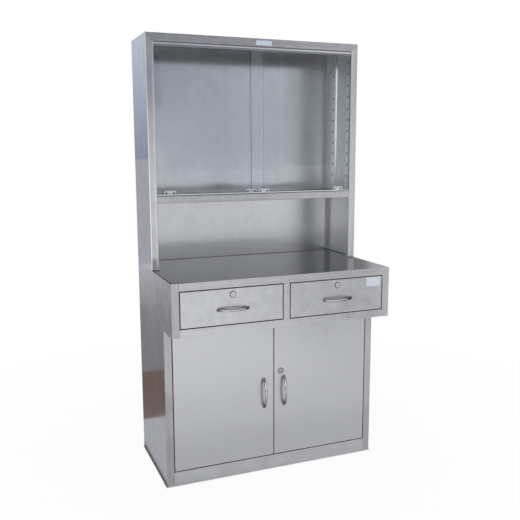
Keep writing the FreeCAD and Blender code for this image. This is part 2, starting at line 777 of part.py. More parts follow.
def glass_wheel(place):
    rim = hole(place, Y, WHEEL_RADIUS, WHEEL_WIDTH)
    return cut(rim, hole(place, Y, AXLE_RADIUS + RUN_CLEAR, 2 * WHEEL_WIDTH))


def build():
    """Every node of the cabinet, by name."""
    left_side = base_side()
    hutch_left = hutch_side()
    bracket = slide_bracket()
    to_right = X * BAY_PITCH
    fixed_slides = outer_slides()
    nodes = {
        "base_left_side": left_side,
        "base_right_side": mirrored(left_side),
        "base_back": back_panel(FOOT_HEIGHT, WORKTOP_UNDER),
        "base_floor": base_floor(),
        "base_shelf": base_shelf(),
        "base_shelf_brackets": base_shelf_brackets(),
        "levelling_feet": levelling_feet(),
        "drawer_deck": drawer_deck(),
        "drawer_divider": drawer_divider(),
        "drawer_slide_brackets": Part.makeCompound([bracket, mirrored(bracket)]),
        "drawer_outer_slides": Part.makeCompound([fixed_slides, moved(fixed_slides, to_right)]),
        "worktop": worktop(),
        "door_pivot_blocks": door_pivot_blocks(),
        "magnetic_catches": magnetic_catches(),
        "hutch_left_side": hutch_left,
        "hutch_right_side": mirrored(hutch_left),
        "hutch_top": hutch_top(),
        "hutch_back": back_panel(WORKTOP_HEIGHT, TOP_UNDER),
        "hutch_shelf": hutch_shelf(),
        "shelf_pilasters": shelf_pilasters(),
        "glass_bottom_track": glass_bottom_track(),
        "glass_top_track": glass_top_track(),
    }

    drawer = {
        "drawer_front": drawer_front(),
        "drawer_tray": drawer_tray(),
        "drawer_handle": drawer_handle(),
        "drawer_inner_slides": inner_slides(),
        "drawer_middle_slides": middle_slides(),
        "drawer_lock_barrel": lock_barrel(drawer_lock_place()),
        "drawer_lock_plug": lock_plug(drawer_lock_place(), X, DRAWER_CAM_REACH),
    }
    for name, shape in drawer.items():
        nodes["left_" + name] = shape
        nodes["right_" + name] = moved(shape, to_right)

    door = {
        "door_skin": door_skin(),
        "door_liner": door_liner(),
        "door_handle": door_handle(),
        "door_pivot_pins": door_pivot_pins(),
    }
    for name, shape in door.items():
        nodes["left_" + name] = shape
        nodes["right_" + name] = mirrored(shape)
    for name in ("right_door_skin", "right_door_liner"):
        nodes[name] = cut(nodes[name], lock_hole(door_lock_place()))
    nodes["door_lock_barrel"] = lock_barrel(door_lock_place())
    nodes["door_lock_plug"] = lock_plug(door_lock_place(), -Z, DOOR_CAM_REACH)

    for side, y in (("left", REAR_PANE_Y), ("right", FRONT_PANE_Y)):
        nodes[side + "_glass_pane"] = glass_pane(side, y)
        nodes[side + "_glass_shoes"] = glass_shoes(side, y)
        for number, place in enumerate(wheel_places(side, y), 1):
            nodes["%s_glass_wheel_%d" % (side, number)] = glass_wheel(place)
    return nodes


os.makedirs("parts", exist_ok=True)
for node, shape in build().items():
    shape.exportStep(os.path.join("parts", node + ".step"))
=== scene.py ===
import bmesh
import bpy
import math
from mathutils import Matrix, Vector


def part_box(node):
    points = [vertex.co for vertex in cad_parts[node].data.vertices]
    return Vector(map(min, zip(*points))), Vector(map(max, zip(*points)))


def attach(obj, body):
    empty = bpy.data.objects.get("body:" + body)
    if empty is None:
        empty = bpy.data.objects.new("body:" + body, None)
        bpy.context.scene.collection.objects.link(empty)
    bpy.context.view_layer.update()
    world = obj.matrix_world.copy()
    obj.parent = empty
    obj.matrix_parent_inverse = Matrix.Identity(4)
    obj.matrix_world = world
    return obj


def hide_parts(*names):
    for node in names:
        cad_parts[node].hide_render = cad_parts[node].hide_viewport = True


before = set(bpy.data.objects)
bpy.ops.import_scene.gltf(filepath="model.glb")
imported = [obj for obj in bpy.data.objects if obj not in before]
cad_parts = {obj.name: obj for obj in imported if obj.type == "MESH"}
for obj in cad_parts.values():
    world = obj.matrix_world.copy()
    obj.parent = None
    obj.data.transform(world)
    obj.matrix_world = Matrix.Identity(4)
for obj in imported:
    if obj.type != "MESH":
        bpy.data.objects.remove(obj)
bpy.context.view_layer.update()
scene = bpy.context.scene
MM = 0.001
SHEET = 1.2 * MM
HAIRLINE = 0.02 * MM
SIDES = ("left", "right")
RIGHTWARD = Vector((1, 0, 0))
UPWARD = Vector((0, 0, 1))
FORWARD = Vector((0, -1, 0))
BACKWARD = Vector((0, 1, 0))


# Shader helpers, and the sockets of a mix node for colours

MIX_SHARE = 0
MIX_FIRST = 6
MIX_SECOND = 7
MIX_RESULT = 2


def new_material(name):
    """A node material, its tree and its shader."""
    mat = bpy.data.materials.new(name)
    mat.use_nodes = True
    return mat, mat.node_tree, mat.node_tree.nodes["Principled BSDF"]


def node(tree, kind, **values):
    """A node with its properties and input sockets set by name."""
    made = tree.nodes.new(kind)
    for key, value in values.items():
        if hasattr(made, key):
            setattr(made, key, value)
        else:
            made.inputs[key.replace("_", " ")].default_value = value
    return made


def own_place(tree):
    """The shaded point in the piece's own coordinates."""
    return node(tree, "ShaderNodeTexCoord").outputs["Object"]


def one_axis(tree, vector, axis):
    """One coordinate of a vector."""
    split = node(tree, "ShaderNodeSeparateXYZ")
    tree.links.new(vector, split.inputs["Vector"])
    return split.outputs[axis]


def stretched_noise(tree, scale, detail=4.0, roughness=0.55):
    """Noise in the piece's own coordinates, with a scale for each axis."""
    mapping = node(tree, "ShaderNodeMapping", Scale=scale)
    noise = node(tree, "ShaderNodeTexNoise", Scale=1.0, Detail=detail, Roughness=roughness)
    tree.links.new(own_place(tree), mapping.inputs["Vector"])
    tree.links.new(mapping.outputs["Vector"], noise.inputs["Vector"])
    return noise.outputs["Fac"]


def ranged(tree, value, low, high, start=0.3, end=0.7):
    """A value between start and end, mapped to low and high."""
    mapped = node(tree, "ShaderNodeMapRange")
    for key, number in (("From Min", start), ("From Max", end), ("To Min", low), ("To Max", high)):
        mapped.inputs[key].default_value = number
    tree.links.new(value, mapped.inputs["Value"])
    return mapped.outputs["Result"]


def computed(tree, operation, *values):
    """A math node's result; each value is a socket or a number."""
    step = node(tree, "ShaderNodeMath", operation=operation)
    for place, value in zip(step.inputs, values):
        if isinstance(value, float):
            place.default_value = value
        else:
            tree.links.new(value, place)
    return step.outputs[0]


def added(tree, *values):
    """The sum of some values."""
    total = values[0]
    for value in values[1:]:
        total = computed(tree, "ADD", total, value)
    return total


def mixed(tree, share, first, second):
    """A colour between two others; each is a socket or three numbers."""
    mix = node(tree, "ShaderNodeMix", data_type="RGBA")
    tree.links.new(share, mix.inputs[MIX_SHARE])
    for place, colour in ((MIX_FIRST, first), (MIX_SECOND, second)):
        if isinstance(colour, tuple):
            mix.inputs[place].default_value = (*colour, 1.0)
        else:
            tree.links.new(colour, mix.inputs[place])
    return mix.outputs[MIX_RESULT]


def bumped(tree, shader, height, strength, distance):
    """Fine relief on a shader."""
    bump = node(tree, "ShaderNodeBump", Strength=strength, Distance=distance)
    tree.links.new(height, bump.inputs["Height"])
    tree.links.new(bump.outputs["Normal"], shader.inputs["Normal"])


# Kinds of material

GRAIN = {"x": (4.0, 900.0, 900.0), "y": (900.0, 4.0, 900.0), "z": (900.0, 900.0, 4.0)}
STREAK = {"x": (2.0, 150.0, 150.0), "y": (150.0, 2.0, 150.0), "z": (150.0, 150.0, 2.0)}
SMUDGE_SCALE = (7.0, 7.0, 7.0)
BLOT_SCALE = (28.0, 28.0, 28.0)
WIPE_SCALE = (60.0, 60.0, 60.0)
GLASS_WIPE_SCALE = (3.0, 3.0, 9.0)
LINE_TINT = 0.15
SMUDGE_TINT = (0.25, 0.75)
LEAST_DULL = 0.93
MOST_DULL = 1.07
WALL_BLUR = 0.85
FRONT_FACES = ("Y", -1)
TOP_FACES = ("Z", 1)
SHADING_START = 0.4
SHADING_END = 0.8
SHADING_BLEND = 5 * MM
RIM_SHADE_START = 0.08
RIM_SHADE_END = 0.35
PLASTIC_SPREAD = 0.06
FINE_SPECK = 900.0
COARSE_SPECK = 300.0
GLASS_INDEX = 1.5
GLASS_DEEP = 0.985


def face_shading_share(tree, faces, above):
    """1 on the faces that look one way, where light and shade are painted, and only above a height if one is
    given.
    """
    axis, way = faces
    normal = node(tree, "ShaderNodeNewGeometry").outputs["Normal"]
    share = ranged(tree, one_axis(tree, normal, axis), 0.0, 1.0, SHADING_START * way, SHADING_END * way)
    if above:
        height = one_axis(tree, own_place(tree), "Z")
        upper = ranged(tree, height, 0.0, 1.0, above - SHADING_BLEND, above + SHADING_BLEND)
        share = computed(tree, "MULTIPLY", share, upper)
    return share


def brushed_steel(name, grain, tone, dull, smudge, round_axis=None, face_shading=None, above=None, streak=0.25,
                  blot=0.2):
    """Metal sheet: fine brush lines and longer streaks one way, smudges and blots, tone from dark to light.

    A wall blurs what it mirrors most across its brush lines, which is the way round an axis. Faces that
    look one way may get another tone and dullness, painted light and shade for how those faces catch the
    light: face_shading is those faces, their tone and their dullness, and it may hold only above a height.
    """
    mat, tree, shader = new_material(name)
    shader.inputs["Metallic"].default_value = 1.0
    if round_axis:
        shader.inputs["Anisotropic"].default_value = WALL_BLUR
        across = node(tree, "ShaderNodeTangent", direction_type="RADIAL", axis=round_axis)
        tree.links.new(across.outputs["Tangent"], shader.inputs["Tangent"])
    lines = stretched_noise(tree, GRAIN[grain], detail=3.0)
    streaks = stretched_noise(tree, STREAK[grain], detail=2.0)
    smudges = stretched_noise(tree, SMUDGE_SCALE, detail=5.0, roughness=0.6)
    blots = stretched_noise(tree, BLOT_SCALE, detail=4.0, roughness=0.65)
    tint = added(tree, ranged(tree, lines, -LINE_TINT, LINE_TINT), ranged(tree, streaks, -streak, streak),
                 ranged(tree, smudges, *SMUDGE_TINT), ranged(tree, blots, -blot, blot))
    colour = mixed(tree, tint, *tone)
    rough = added(tree, ranged(tree, lines, dull * LEAST_DULL, dull * MOST_DULL),
                  ranged(tree, smudges, -smudge, smudge))
    # Painted light and shade: faces that look one way take another tone and dullness
    if face_shading:
        faces, shading_tone, shading_dull = face_shading
        share = face_shading_share(tree, faces, above)
        colour = mixed(tree, share, colour, mixed(tree, tint, *shading_tone))
        rough = added(tree, rough, ranged(tree, share, 0.0, shading_dull - dull, 0.0, 1.0))
    tree.links.new(colour, shader.inputs["Base Color"])
    tree.links.new(rough, shader.inputs["Roughness"])
    bumped(tree, shader, lines, strength=0.02, distance=0.2 * MM)
    return mat


def plated(name, tone, dull, mark, rim=None):
    """Bright plated metal with faint wiping marks, which may be painted darker towards its rims where they
    turn edge-on: a painted dark reflection.
    """
    mat, tree, shader = new_material(name)
    shader.inputs["Metallic"].default_value = 1.0
    wipes = stretched_noise(tree, WIPE_SCALE, detail=3.0)
    colour = mixed(tree, ranged(tree, wipes, 0.0, 1.0), *tone)
    # Painted dark reflection: the rims seen edge-on take the dark colour
    if rim:
        slope = node(tree, "ShaderNodeLayerWeight", Blend=0.5)
        rim_shade_share = ranged(tree, slope.outputs["Facing"], 0.0, 1.0, RIM_SHADE_START, RIM_SHADE_END)
        colour = mixed(tree, rim_shade_share, colour, rim)
    tree.links.new(colour, shader.inputs["Base Color"])
    tree.links.new(ranged(tree, wipes, dull, dull + mark), shader.inputs["Roughness"])
    bumped(tree, shader, wipes, strength=0.03, distance=0.3 * MM)
    return mat


def plastic(name, tone, dull, speck, shine=0.5):
    """Moulded plastic with a faint grain."""
    mat, tree, shader = new_material(name)
    shader.inputs["Specular IOR Level"].default_value = shine
    grain = stretched_noise(tree, (speck, speck, speck), detail=2.0)
    tree.links.new(mixed(tree, ranged(tree, grain, 0.0, 1.0), *tone), shader.inputs["Base Color"])
    rough = ranged(tree, grain, dull - PLASTIC_SPREAD, dull + PLASTIC_SPREAD)
    tree.links.new(rough, shader.inputs["Roughness"])
    bumped(tree, shader, grain, strength=0.15, distance=0.2 * MM)
    return mat


def clear_glass(name, tint, haze):
    """Sheet glass, tinted, with a trace of wiping haze."""
    mat, tree, shader = new_material(name)
    shader.inputs["Transmission Weight"].default_value = 1.0
    shader.inputs["IOR"].default_value = GLASS_INDEX
    wipes = stretched_noise(tree, GLASS_WIPE_SCALE)
    deep = tuple(channel * GLASS_DEEP for channel in tint)
    tree.links.new(mixed(tree, ranged(tree, wipes, 0.0, 1.0), deep, tint), shader.inputs["Base Color"])
    tree.links.new(ranged(tree, wipes, 0.0, haze), shader.inputs["Roughness"])
    return mat


# Tones, each from dark to light; the steel tones are copies of one steel, lighter or darker part by part,
# partly as painted light and shade

STEEL_TONE = ((0.52, 0.527, 0.55), (0.612, 0.619, 0.645))
DOOR_TONE = ((0.556, 0.563, 0.588), (0.598, 0.605, 0.631))
BACK_TONE = ((0.485, 0.493, 0.513), (0.54, 0.549, 0.572))
FOLD_TONE = ((0.485, 0.489, 0.507), (0.555, 0.56, 0.577))
# The top tone and the stile tones below are painted light and shade for faces that look one way
TOP_TONE = ((0.305, 0.307, 0.314), (0.362, 0.365, 0.371))
BOX_STILE_TONE = ((0.60, 0.60, 0.604), (0.67, 0.67, 0.674))
STILE_TONE = ((0.40, 0.402, 0.412), (0.455, 0.458, 0.468))
BASE_TONE = ((0.455, 0.46, 0.48), (0.55, 0.556, 0.578))
RIGHT_BASE_TONE = ((0.443, 0.445, 0.448), (0.536, 0.538, 0.541))
WALL_TONE = ((0.60, 0.607, 0.63), (0.66, 0.667, 0.69))
LEFT_STILE_TONE = ((0.465, 0.471, 0.492), (0.547, 0.554, 0.577))
RIGHT_STILE_TONE = ((0.53, 0.534, 0.55), (0.585, 0.59, 0.606))
SEAM_AND_CORNER_SHADE_TONE = ((0.30, 0.304, 0.315), (0.36, 0.364, 0.377))
CASE_CORNER_SHADE_TONE = ((0.42, 0.424, 0.437), (0.48, 0.484, 0.497))
RAIL_TONE = ((0.395, 0.40, 0.42), (0.475, 0.48, 0.50))
BRUSH_TONE = ((0.28, 0.285, 0.33), (0.34, 0.345, 0.39))
FOLD_REFLECTION_TONE = ((0.07, 0.07, 0.073), (0.11, 0.11, 0.114))
ZINC_TONE = ((0.40, 0.42, 0.45), (0.55, 0.57, 0.60))
CHROME_TONE = ((0.72, 0.73, 0.74), (0.82, 0.83, 0.84))
# The dark colour below is a painted dark reflection on the chrome's edge-on rims
CHROME_RIM_SHADE = (0.08, 0.08, 0.084)
RING_DARK_REFLECTION_TONE = ((0.20, 0.20, 0.20), (0.28, 0.28, 0.28))
NICKEL_TONE = ((0.70, 0.69, 0.65), (0.80, 0.79, 0.74))
DULL_NICKEL_TONE = ((0.40, 0.40, 0.39), (0.50, 0.50, 0.49))
SHOE_TONE = ((0.50, 0.51, 0.52), (0.62, 0.63, 0.64))
TRACK_TONE = ((0.66, 0.68, 0.70), (0.76, 0.78, 0.80))
TOP_TRACK_TONE = ((0.60, 0.61, 0.62), (0.70, 0.71, 0.72))
PILASTER_TONE = ((0.74, 0.75, 0.77), (0.82, 0.83, 0.85))
EDGE_HIGHLIGHT_TONE = ((0.84, 0.85, 0.86), (0.90, 0.91, 0.92))
NYLON_TONE = ((0.70, 0.70, 0.66), (0.78, 0.78, 0.75))
BLACK_TONE = ((0.018, 0.018, 0.02), (0.03, 0.03, 0.033))
GAP_SHADE_TONE = ((0.012, 0.012, 0.013), (0.02, 0.02, 0.021))
GREY_TONE = ((0.10, 0.10, 0.105), (0.14, 0.14, 0.145))
BLUE_TONE = ((0.55, 0.64, 0.80), (0.62, 0.70, 0.85))
PALE_TONE = ((0.68, 0.74, 0.83), (0.76, 0.81, 0.88))
GLASS_TINT = (0.93, 0.966, 0.99)
GLASS_EDGE_TINT = (0.45, 0.68, 0.64)


# Materials: sheet steel

# Front faces of the walls and the worktop's top take their own tones, which is painted light and shade
DRAWER_BOX_FOOT = 0.628
front_steel_x = brushed_steel("front_steel_x", "x", STEEL_TONE, dull=0.30, smudge=0.03, streak=0.16,
                              blot=0.45)
front_steel_z = brushed_steel("front_steel_z", "z", DOOR_TONE, dull=0.30, smudge=0.03, streak=0.05,
                              blot=0.04)
wall_steel = brushed_steel("wall_steel", "z", STEEL_TONE, dull=0.11, smudge=0.015, round_axis="Z",
                           face_shading=(FRONT_FACES, LEFT_STILE_TONE, 0.17), streak=0.45, blot=0.36)
right_base_steel = brushed_steel("right_base_steel", "z", RIGHT_BASE_TONE, dull=0.17, smudge=0.02,
                                 round_axis="Z", face_shading=(FRONT_FACES, BOX_STILE_TONE, 0.20),
                                 above=DRAWER_BOX_FOOT)
left_base_steel = brushed_steel("left_base_steel", "z", BASE_TONE, dull=0.17, smudge=0.02, round_axis="Z",
                                face_shading=(FRONT_FACES, STILE_TONE, 0.20), streak=0.45, blot=0.4)
case_wall_steel = brushed_steel("case_wall_steel", "y", WALL_TONE, dull=0.30, smudge=0.02, round_axis="Y",
                                face_shading=(FRONT_FACES, RIGHT_STILE_TONE, 0.30))
rail_steel = brushed_steel("rail_steel", "x", STEEL_TONE, dull=0.28, smudge=0.02, streak=0.4, blot=0.32)
top_rail_steel = brushed_steel("top_rail_steel", "x", RAIL_TONE, dull=0.28, smudge=0.02, streak=0.6,
                               blot=0.48)
top_steel = brushed_steel("top_steel", "x", FOLD_TONE, dull=0.32, smudge=0.03,
                          face_shading=(TOP_FACES, TOP_TONE, 0.20), streak=0.5, blot=0.4)
back_steel = brushed_steel("back_steel", "z", BACK_TONE, dull=0.22, smudge=0.02, round_axis="Z")
# Dark steel for the mitre seams and the niche's rear corners, painted shade
seam_and_corner_shade_steel = brushed_steel("seam_and_corner_shade_steel", "z", SEAM_AND_CORNER_SHADE_TONE, dull=0.32, smudge=0.02)
case_corner_shade_steel = brushed_steel("case_corner_shade_steel", "z", CASE_CORNER_SHADE_TONE, dull=0.32, smudge=0.02)
inner_steel = brushed_steel("inner_steel", "y", STEEL_TONE, dull=0.34, smudge=0.03)
fold_reflection_steel = brushed_steel("fold_reflection_steel", "y", FOLD_REFLECTION_TONE, dull=0.40, smudge=0.02)


# Materials: fittings, trim and glass

brush_seal = brushed_steel("brush_seal", "z", BRUSH_TONE, dull=0.5, smudge=0.02)
zinc = brushed_steel("zinc_plated", "y", ZINC_TONE, dull=0.32, smudge=0.05)
aluminium = brushed_steel("track_aluminium", "x", TRACK_TONE, dull=0.24, smudge=0.02)
top_aluminium = brushed_steel("top_track_aluminium", "x", TOP_TRACK_TONE, dull=0.24, smudge=0.02)
pilaster_steel = brushed_steel("pilaster_steel", "z", PILASTER_TONE, dull=0.34, smudge=0.02)
chrome = plated("chrome", CHROME_TONE, dull=0.06, mark=0.05, rim=CHROME_RIM_SHADE)
# Dark tone of the lock rings, a painted reflection
dark_reflection_ring = plated("dark_reflection_ring", RING_DARK_REFLECTION_TONE, dull=0.12, mark=0.06)
nickel = plated("satin_nickel", NICKEL_TONE, dull=0.28, mark=0.08)
dull_nickel = plated("dull_nickel", DULL_NICKEL_TONE, dull=0.28, mark=0.08)
bright_metal = plated("shoe_plating", SHOE_TONE, dull=0.28, mark=0.08)
# Bright metal for the pilaster lips and the stile's fold, a painted highlight on their edges
edge_highlight_metal = plated("edge_highlight_metal", EDGE_HIGHLIGHT_TONE, dull=0.12, mark=0.04)
nylon = plastic("nylon", NYLON_TONE, dull=0.45, speck=FINE_SPECK)
black_plastic = plastic("black_plastic", BLACK_TONE, dull=0.50, speck=FINE_SPECK)
foot_gap_shade = plastic("foot_gap_shade", GAP_SHADE_TONE, dull=0.85, speck=FINE_SPECK, shine=0.05)
grey_plastic = plastic("catch_plastic", GREY_TONE, dull=0.45, speck=FINE_SPECK)
plate_blue = plastic("plate_blue", BLUE_TONE, dull=0.40, speck=COARSE_SPECK)
plate_pale = plastic("plate_pale", PALE_TONE, dull=0.40, speck=COARSE_SPECK)
glass = clear_glass("pane_glass", GLASS_TINT, haze=0.02)
glass_edge = clear_glass("pane_edge", GLASS_EDGE_TINT, haze=0.25)


# The finish of every CAD node

MATERIAL_OF = {
    "base_left_side": left_base_steel, "base_right_side": right_base_steel,
    "hutch_left_side": wall_steel, "hutch_right_side": case_wall_steel,
    "base_back": back_steel, "hutch_back": back_steel,
    "base_floor": rail_steel, "drawer_deck": rail_steel, "drawer_divider": rail_steel,
    "hutch_top": top_rail_steel, "hutch_shelf": top_rail_steel, "worktop": top_steel,
    "base_shelf": inner_steel, "base_shelf_brackets": zinc,
    "drawer_slide_brackets": zinc, "drawer_outer_slides": zinc,
    "levelling_feet": black_plastic, "magnetic_catches": grey_plastic,
    "door_pivot_blocks": nylon, "shelf_pilasters": pilaster_steel,
    "glass_bottom_track": aluminium, "glass_top_track": top_aluminium,
    "door_lock_barrel": dull_nickel, "door_lock_plug": dull_nickel,
}
MATERIAL_OF_PAIR = {
    "drawer_front": front_steel_x, "drawer_tray": inner_steel, "drawer_handle": chrome,
    "drawer_inner_slides": zinc, "drawer_middle_slides": zinc,
    "drawer_lock_barrel": nickel, "drawer_lock_plug": nickel,
    "door_skin": front_steel_z, "door_liner": inner_steel, "door_handle": chrome, "door_pivot_pins": chrome,
    "glass_pane": glass, "glass_shoes": bright_metal, "glass_wheel_1": nylon, "glass_wheel_2": nylon,
}
for side in SIDES:
    for kind, mat in MATERIAL_OF_PAIR.items():
        MATERIAL_OF[side + "_" + kind] = mat
for name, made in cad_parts.items():
    for place in made.material_slots:
        place.material = MATERIAL_OF[name]


# Mesh helpers

SHARP_ANGLE = math.radians(35)
PLATE_BEVEL = 0.12 * MM
STRIP_BEVEL = 0.3 * MM


def finished(name, made, body, materials, smooth=True):
    """Turns a bmesh into a mesh object with materials, riding on a body."""
    bmesh.ops.recalc_face_normals(made, faces=made.faces)
    mesh_data = bpy.data.meshes.new(name)
    made.to_mesh(mesh_data)
    made.free()
    if smooth:
        mesh_data.shade_smooth()
        mesh_data.set_sharp_from_angle(angle=SHARP_ANGLE)
    piece = bpy.data.objects.new(name, mesh_data)
    scene.collection.objects.link(piece)
    for mat in materials:
        mesh_data.materials.append(mat)
    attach(piece, body)
    return piece


def skin_rings(made, rings, closed=False):
    """Joins equal rings with quads, and either closes them into a loop or adds end faces."""
    verts = [[made.verts.new(point) for point in ring] for ring in rings]
    count = len(rings[0])
    following = verts[1:] + verts[:1] if closed else verts[1:]
    for first, second in zip(verts, following):
        for k in range(count):
            made.faces.new((first[k], first[(k + 1) % count], second[(k + 1) % count], second[k]))
    if not closed:
        made.faces.new(verts[0][::-1])
        made.faces.new(verts[-1])


def turned_rings(place, axis, profile, count):
    """Rings of a solid of revolution; profile points are (radius, distance along the axis)."""
    across = axis.orthogonal().normalized()
    other = axis.cross(across)
    turns = [2 * math.pi * k / count for k in range(count)]
    ways = [across * math.cos(turn) + other * math.sin(turn) for turn in turns]
    return [[place + axis * along + way * radius for way in ways] for radius, along in profile]


def swept(made, section, ends, first_way, second_way, unit=MM):
    """Runs a section from one end to the other; its points are measures along two ways, in one unit."""
    rings = []
    for end in ends:
        rings.append([end + first_way * (first * unit) + second_way * (second * unit)
                      for first, second in section])
    skin_rings(made, rings)


def bevelled_box(low, high, offset, segments):
    """A box between two corners, with its edges eased."""
    made = bmesh.new()
    bmesh.ops.create_cube(made, size=1.0)
    bmesh.ops.scale(made, vec=high - low, verts=made.verts)
    bmesh.ops.translate(made, vec=(low + high) / 2, verts=made.verts)
    bmesh.ops.bevel(made, geom=list(made.edges), offset=offset, segments=segments, affect="EDGES",
                    profile=0.5)
    return made


def add_box(made, low, high, offset):
    """Adds a bevelled box to a mesh that is being made."""
    box = bevelled_box(low, high, offset, segments=1)
    part = bpy.data.meshes.new("part")
    box.to_mesh(part)
    box.free()
    made.from_mesh(part)
    bpy.data.meshes.remove(part)


def thin_plate(name, body, mat, x, y, z):
    """A plate between two measures on each axis."""
    low, high = (Vector(corner) for corner in zip(x, y, z))
    made = bevelled_box(low, high, PLATE_BEVEL, segments=2)
    finished(name, made, body, [mat], smooth=False)


def mirrored_strips(name, mat, x, y, z):
    """A strip on each side of the carcass, between two measures on each axis."""
    made = bmesh.new()
    for way in (-1, 1):
        ends = sorted(way * measure for measure in x)
        low, high = (Vector(corner) for corner in zip(ends, y, z))
        add_box(made, low, high, STRIP_BEVEL)
    finished(name, made, "carcass", [mat], smooth=False)


# Pulls: a smooth bow on round feet

HANDLE_SPAN = 118 * MM
HANDLE_RISE = 24 * MM
HANDLE_WIDTH = 9 * MM
HANDLE_THICK = 8 * MM
FOOT_WIDTH = 10 * MM
FOOT_THICK = 9 * MM
FOOT_COLLAR = [(6.6 * MM, 0.0), (6.6 * MM, 0.8 * MM), (6.0 * MM, 1.5 * MM), (5.2 * MM, 2.0 * MM)]
BOW_SECTIONS = 49
BOW_SIDES = 28
PULL_WAYS = {"drawer": (RIGHTWARD, UPWARD), "door": (UPWARD, RIGHTWARD)}


def bow_rings(middle, length_way, width_way):
    """Oval sections along half an ellipse, from one foot to the other."""
    turns = [2 * math.pi * k / BOW_SIDES for k in range(BOW_SIDES)]
    rings = []
    for i in range(BOW_SECTIONS):
        angle = math.pi * i / (BOW_SECTIONS - 1)
        sine = math.sin(angle)
        cosine = math.cos(angle)
        centre = middle - length_way * (cosine * HANDLE_SPAN / 2) + FORWARD * (sine * HANDLE_RISE)
        run = (length_way * (sine * HANDLE_SPAN / 2) + FORWARD * (cosine * HANDLE_RISE)).normalized()
        swell = sine ** 2
        wide = width_way * ((FOOT_WIDTH + (HANDLE_WIDTH - FOOT_WIDTH) * swell) / 2)
        thick = run.cross(width_way) * ((FOOT_THICK + (HANDLE_THICK - FOOT_THICK) * swell) / 2)
        rings.append([centre + wide * math.cos(turn) + thick * math.sin(turn) for turn in turns])
    return rings


def pull(side, kind):
    """The pull of a drawer or door, in place of its CAD node."""
    low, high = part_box(side + "_" + kind + "_handle")
    middle = Vector(((low.x + high.x) / 2, high.y, (low.z + high.z) / 2))
    length_way, width_way = PULL_WAYS[kind]
    made = bmesh.new()
    skin_rings(made, bow_rings(middle, length_way, width_way))
    for way in (-1, 1):
        foot = middle + length_way * (way * HANDLE_SPAN / 2)
        skin_rings(made, turned_rings(foot, FORWARD, FOOT_COLLAR, BOW_SIDES))
    piece = finished(side + "_" + kind + "_pull", made, side + "_" + kind, [chrome])
    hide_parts(side + "_" + kind + "_handle")


for side in SIDES:
    for kind in PULL_WAYS:
        pull(side, kind)


# Panes with polished edges

PANE_BEVEL = 0.5 * MM
FACE_LEAST = 0.99


def pane(side):
    """A pane in place of its CAD node, with another finish on its edges."""
    low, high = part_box(side + "_glass_pane")
    made = bevelled_box(low, high, PANE_BEVEL, segments=2)
    made.normal_update()
    for face in made.faces:
        face.material_index = 0 if abs(face.normal.y) > FACE_LEAST else 1
    piece = finished(side + "_pane_sheet", made, side + "_glass", [glass, glass_edge], smooth=False)
    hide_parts(side + "_glass_pane")


for side in SIDES:
    pane(side)


# Rivets on both faces of the glass shoes

DOME_STEPS = 5
DOME_SIDES = 20
DOME_EDGE = 0.25
SHOE_HALF = 23.5 * MM
SHOE_RIVET_IN = 8.5 * MM
SHOE_RIVET_UP = 7.0 * MM
SHOE_RIVET_RADIUS = 3.9 * MM
SHOE_RIVET_RISE = 0.7 * MM


def domed(made, place, axis, radius, rise):
    """A low round rivet head."""
    profile = [(radius, 0.0)]
    for k in range(DOME_STEPS):
        turn = math.pi / 2 * k / DOME_STEPS
        profile.append((radius * math.cos(turn), rise * (DOME_EDGE + (1 - DOME_EDGE) * math.sin(turn))))
    skin_rings(made, turned_rings(place, axis, profile, DOME_SIDES))


def shoe_rivets(side):
    """Two rivets on each face of both shoes of a pane."""
    made = bmesh.new()
    low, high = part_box(side + "_glass_shoes")
    for middle in (low.x + SHOE_HALF, high.x - SHOE_HALF):
        for way in (-1, 1):
            x = middle + way * (SHOE_HALF - SHOE_RIVET_IN)
            for y, axis in ((low.y, FORWARD), (high.y, BACKWARD)):
                place = Vector((x, y, low.z + SHOE_RIVET_UP))
                domed(made, place, axis, SHOE_RIVET_RADIUS, SHOE_RIVET_RISE)
    finished(side + "_shoe_rivets", made, side + "_glass", [black_plastic])


for side in SIDES:
    shoe_rivets(side)


# Locks: a rounded ring over each bezel, dark as a painted reflection, and a black insert in each keyway as
# painted shade

RING_PROFILE = [(13.0, 0.0), (12.9, 0.8), (12.2, 1.9), (11.2, 2.6), (10.0, 2.9), (9.1, 2.8), (8.6, 2.2),
                (8.6, 0.0)]
RING_SIDES = 40
RING_SEAT = 2.5 * MM
KEYWAY_HALF = 1.6 * MM
KEYWAY_DOWN = 5.6 * MM
KEYWAY_UP = 2.6 * MM
KEYWAY_PROUD = 0.05 * MM
KEYWAY_DEEP = 3.0 * MM
KEYWAY_BEVEL = 0.2 * MM


def lock_trim(lock, body, plug_body):
    """The ring, dark as a painted reflection, rides with the barrel, and the keyway's black insert, painted
    shade, turns with the plug.
    """
    low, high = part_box(lock + "_barrel")
    place = Vector(((low.x + high.x) / 2, low.y + RING_SEAT, (low.z + high.z) / 2))
    made = bmesh.new()
    profile = [(radius * MM, rise * MM) for radius, rise in RING_PROFILE]
    skin_rings(made, turned_rings(place, FORWARD, profile, RING_SIDES), closed=True)
    finished(lock + "_trim", made, body, [dark_reflection_ring])
    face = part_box(lock + "_plug")[0].y
    made = bevelled_box(Vector((place.x - KEYWAY_HALF, face - KEYWAY_PROUD, place.z - KEYWAY_DOWN)),
                        Vector((place.x + KEYWAY_HALF, face + KEYWAY_DEEP, place.z + KEYWAY_UP)),
                        KEYWAY_BEVEL, segments=2)
    finished(lock + "_keyway_shade", made, plug_body, [black_plastic], smooth=False)


lock_trim("left_drawer_lock", "left_drawer", "left_drawer_lock")
lock_trim("right_drawer_lock", "right_drawer", "right_drawer_lock")
lock_trim("door_lock", "right_door", "door_lock")


# Fixings: rivets down the rear flanges, and the pulls' screws inside the doors and drawers

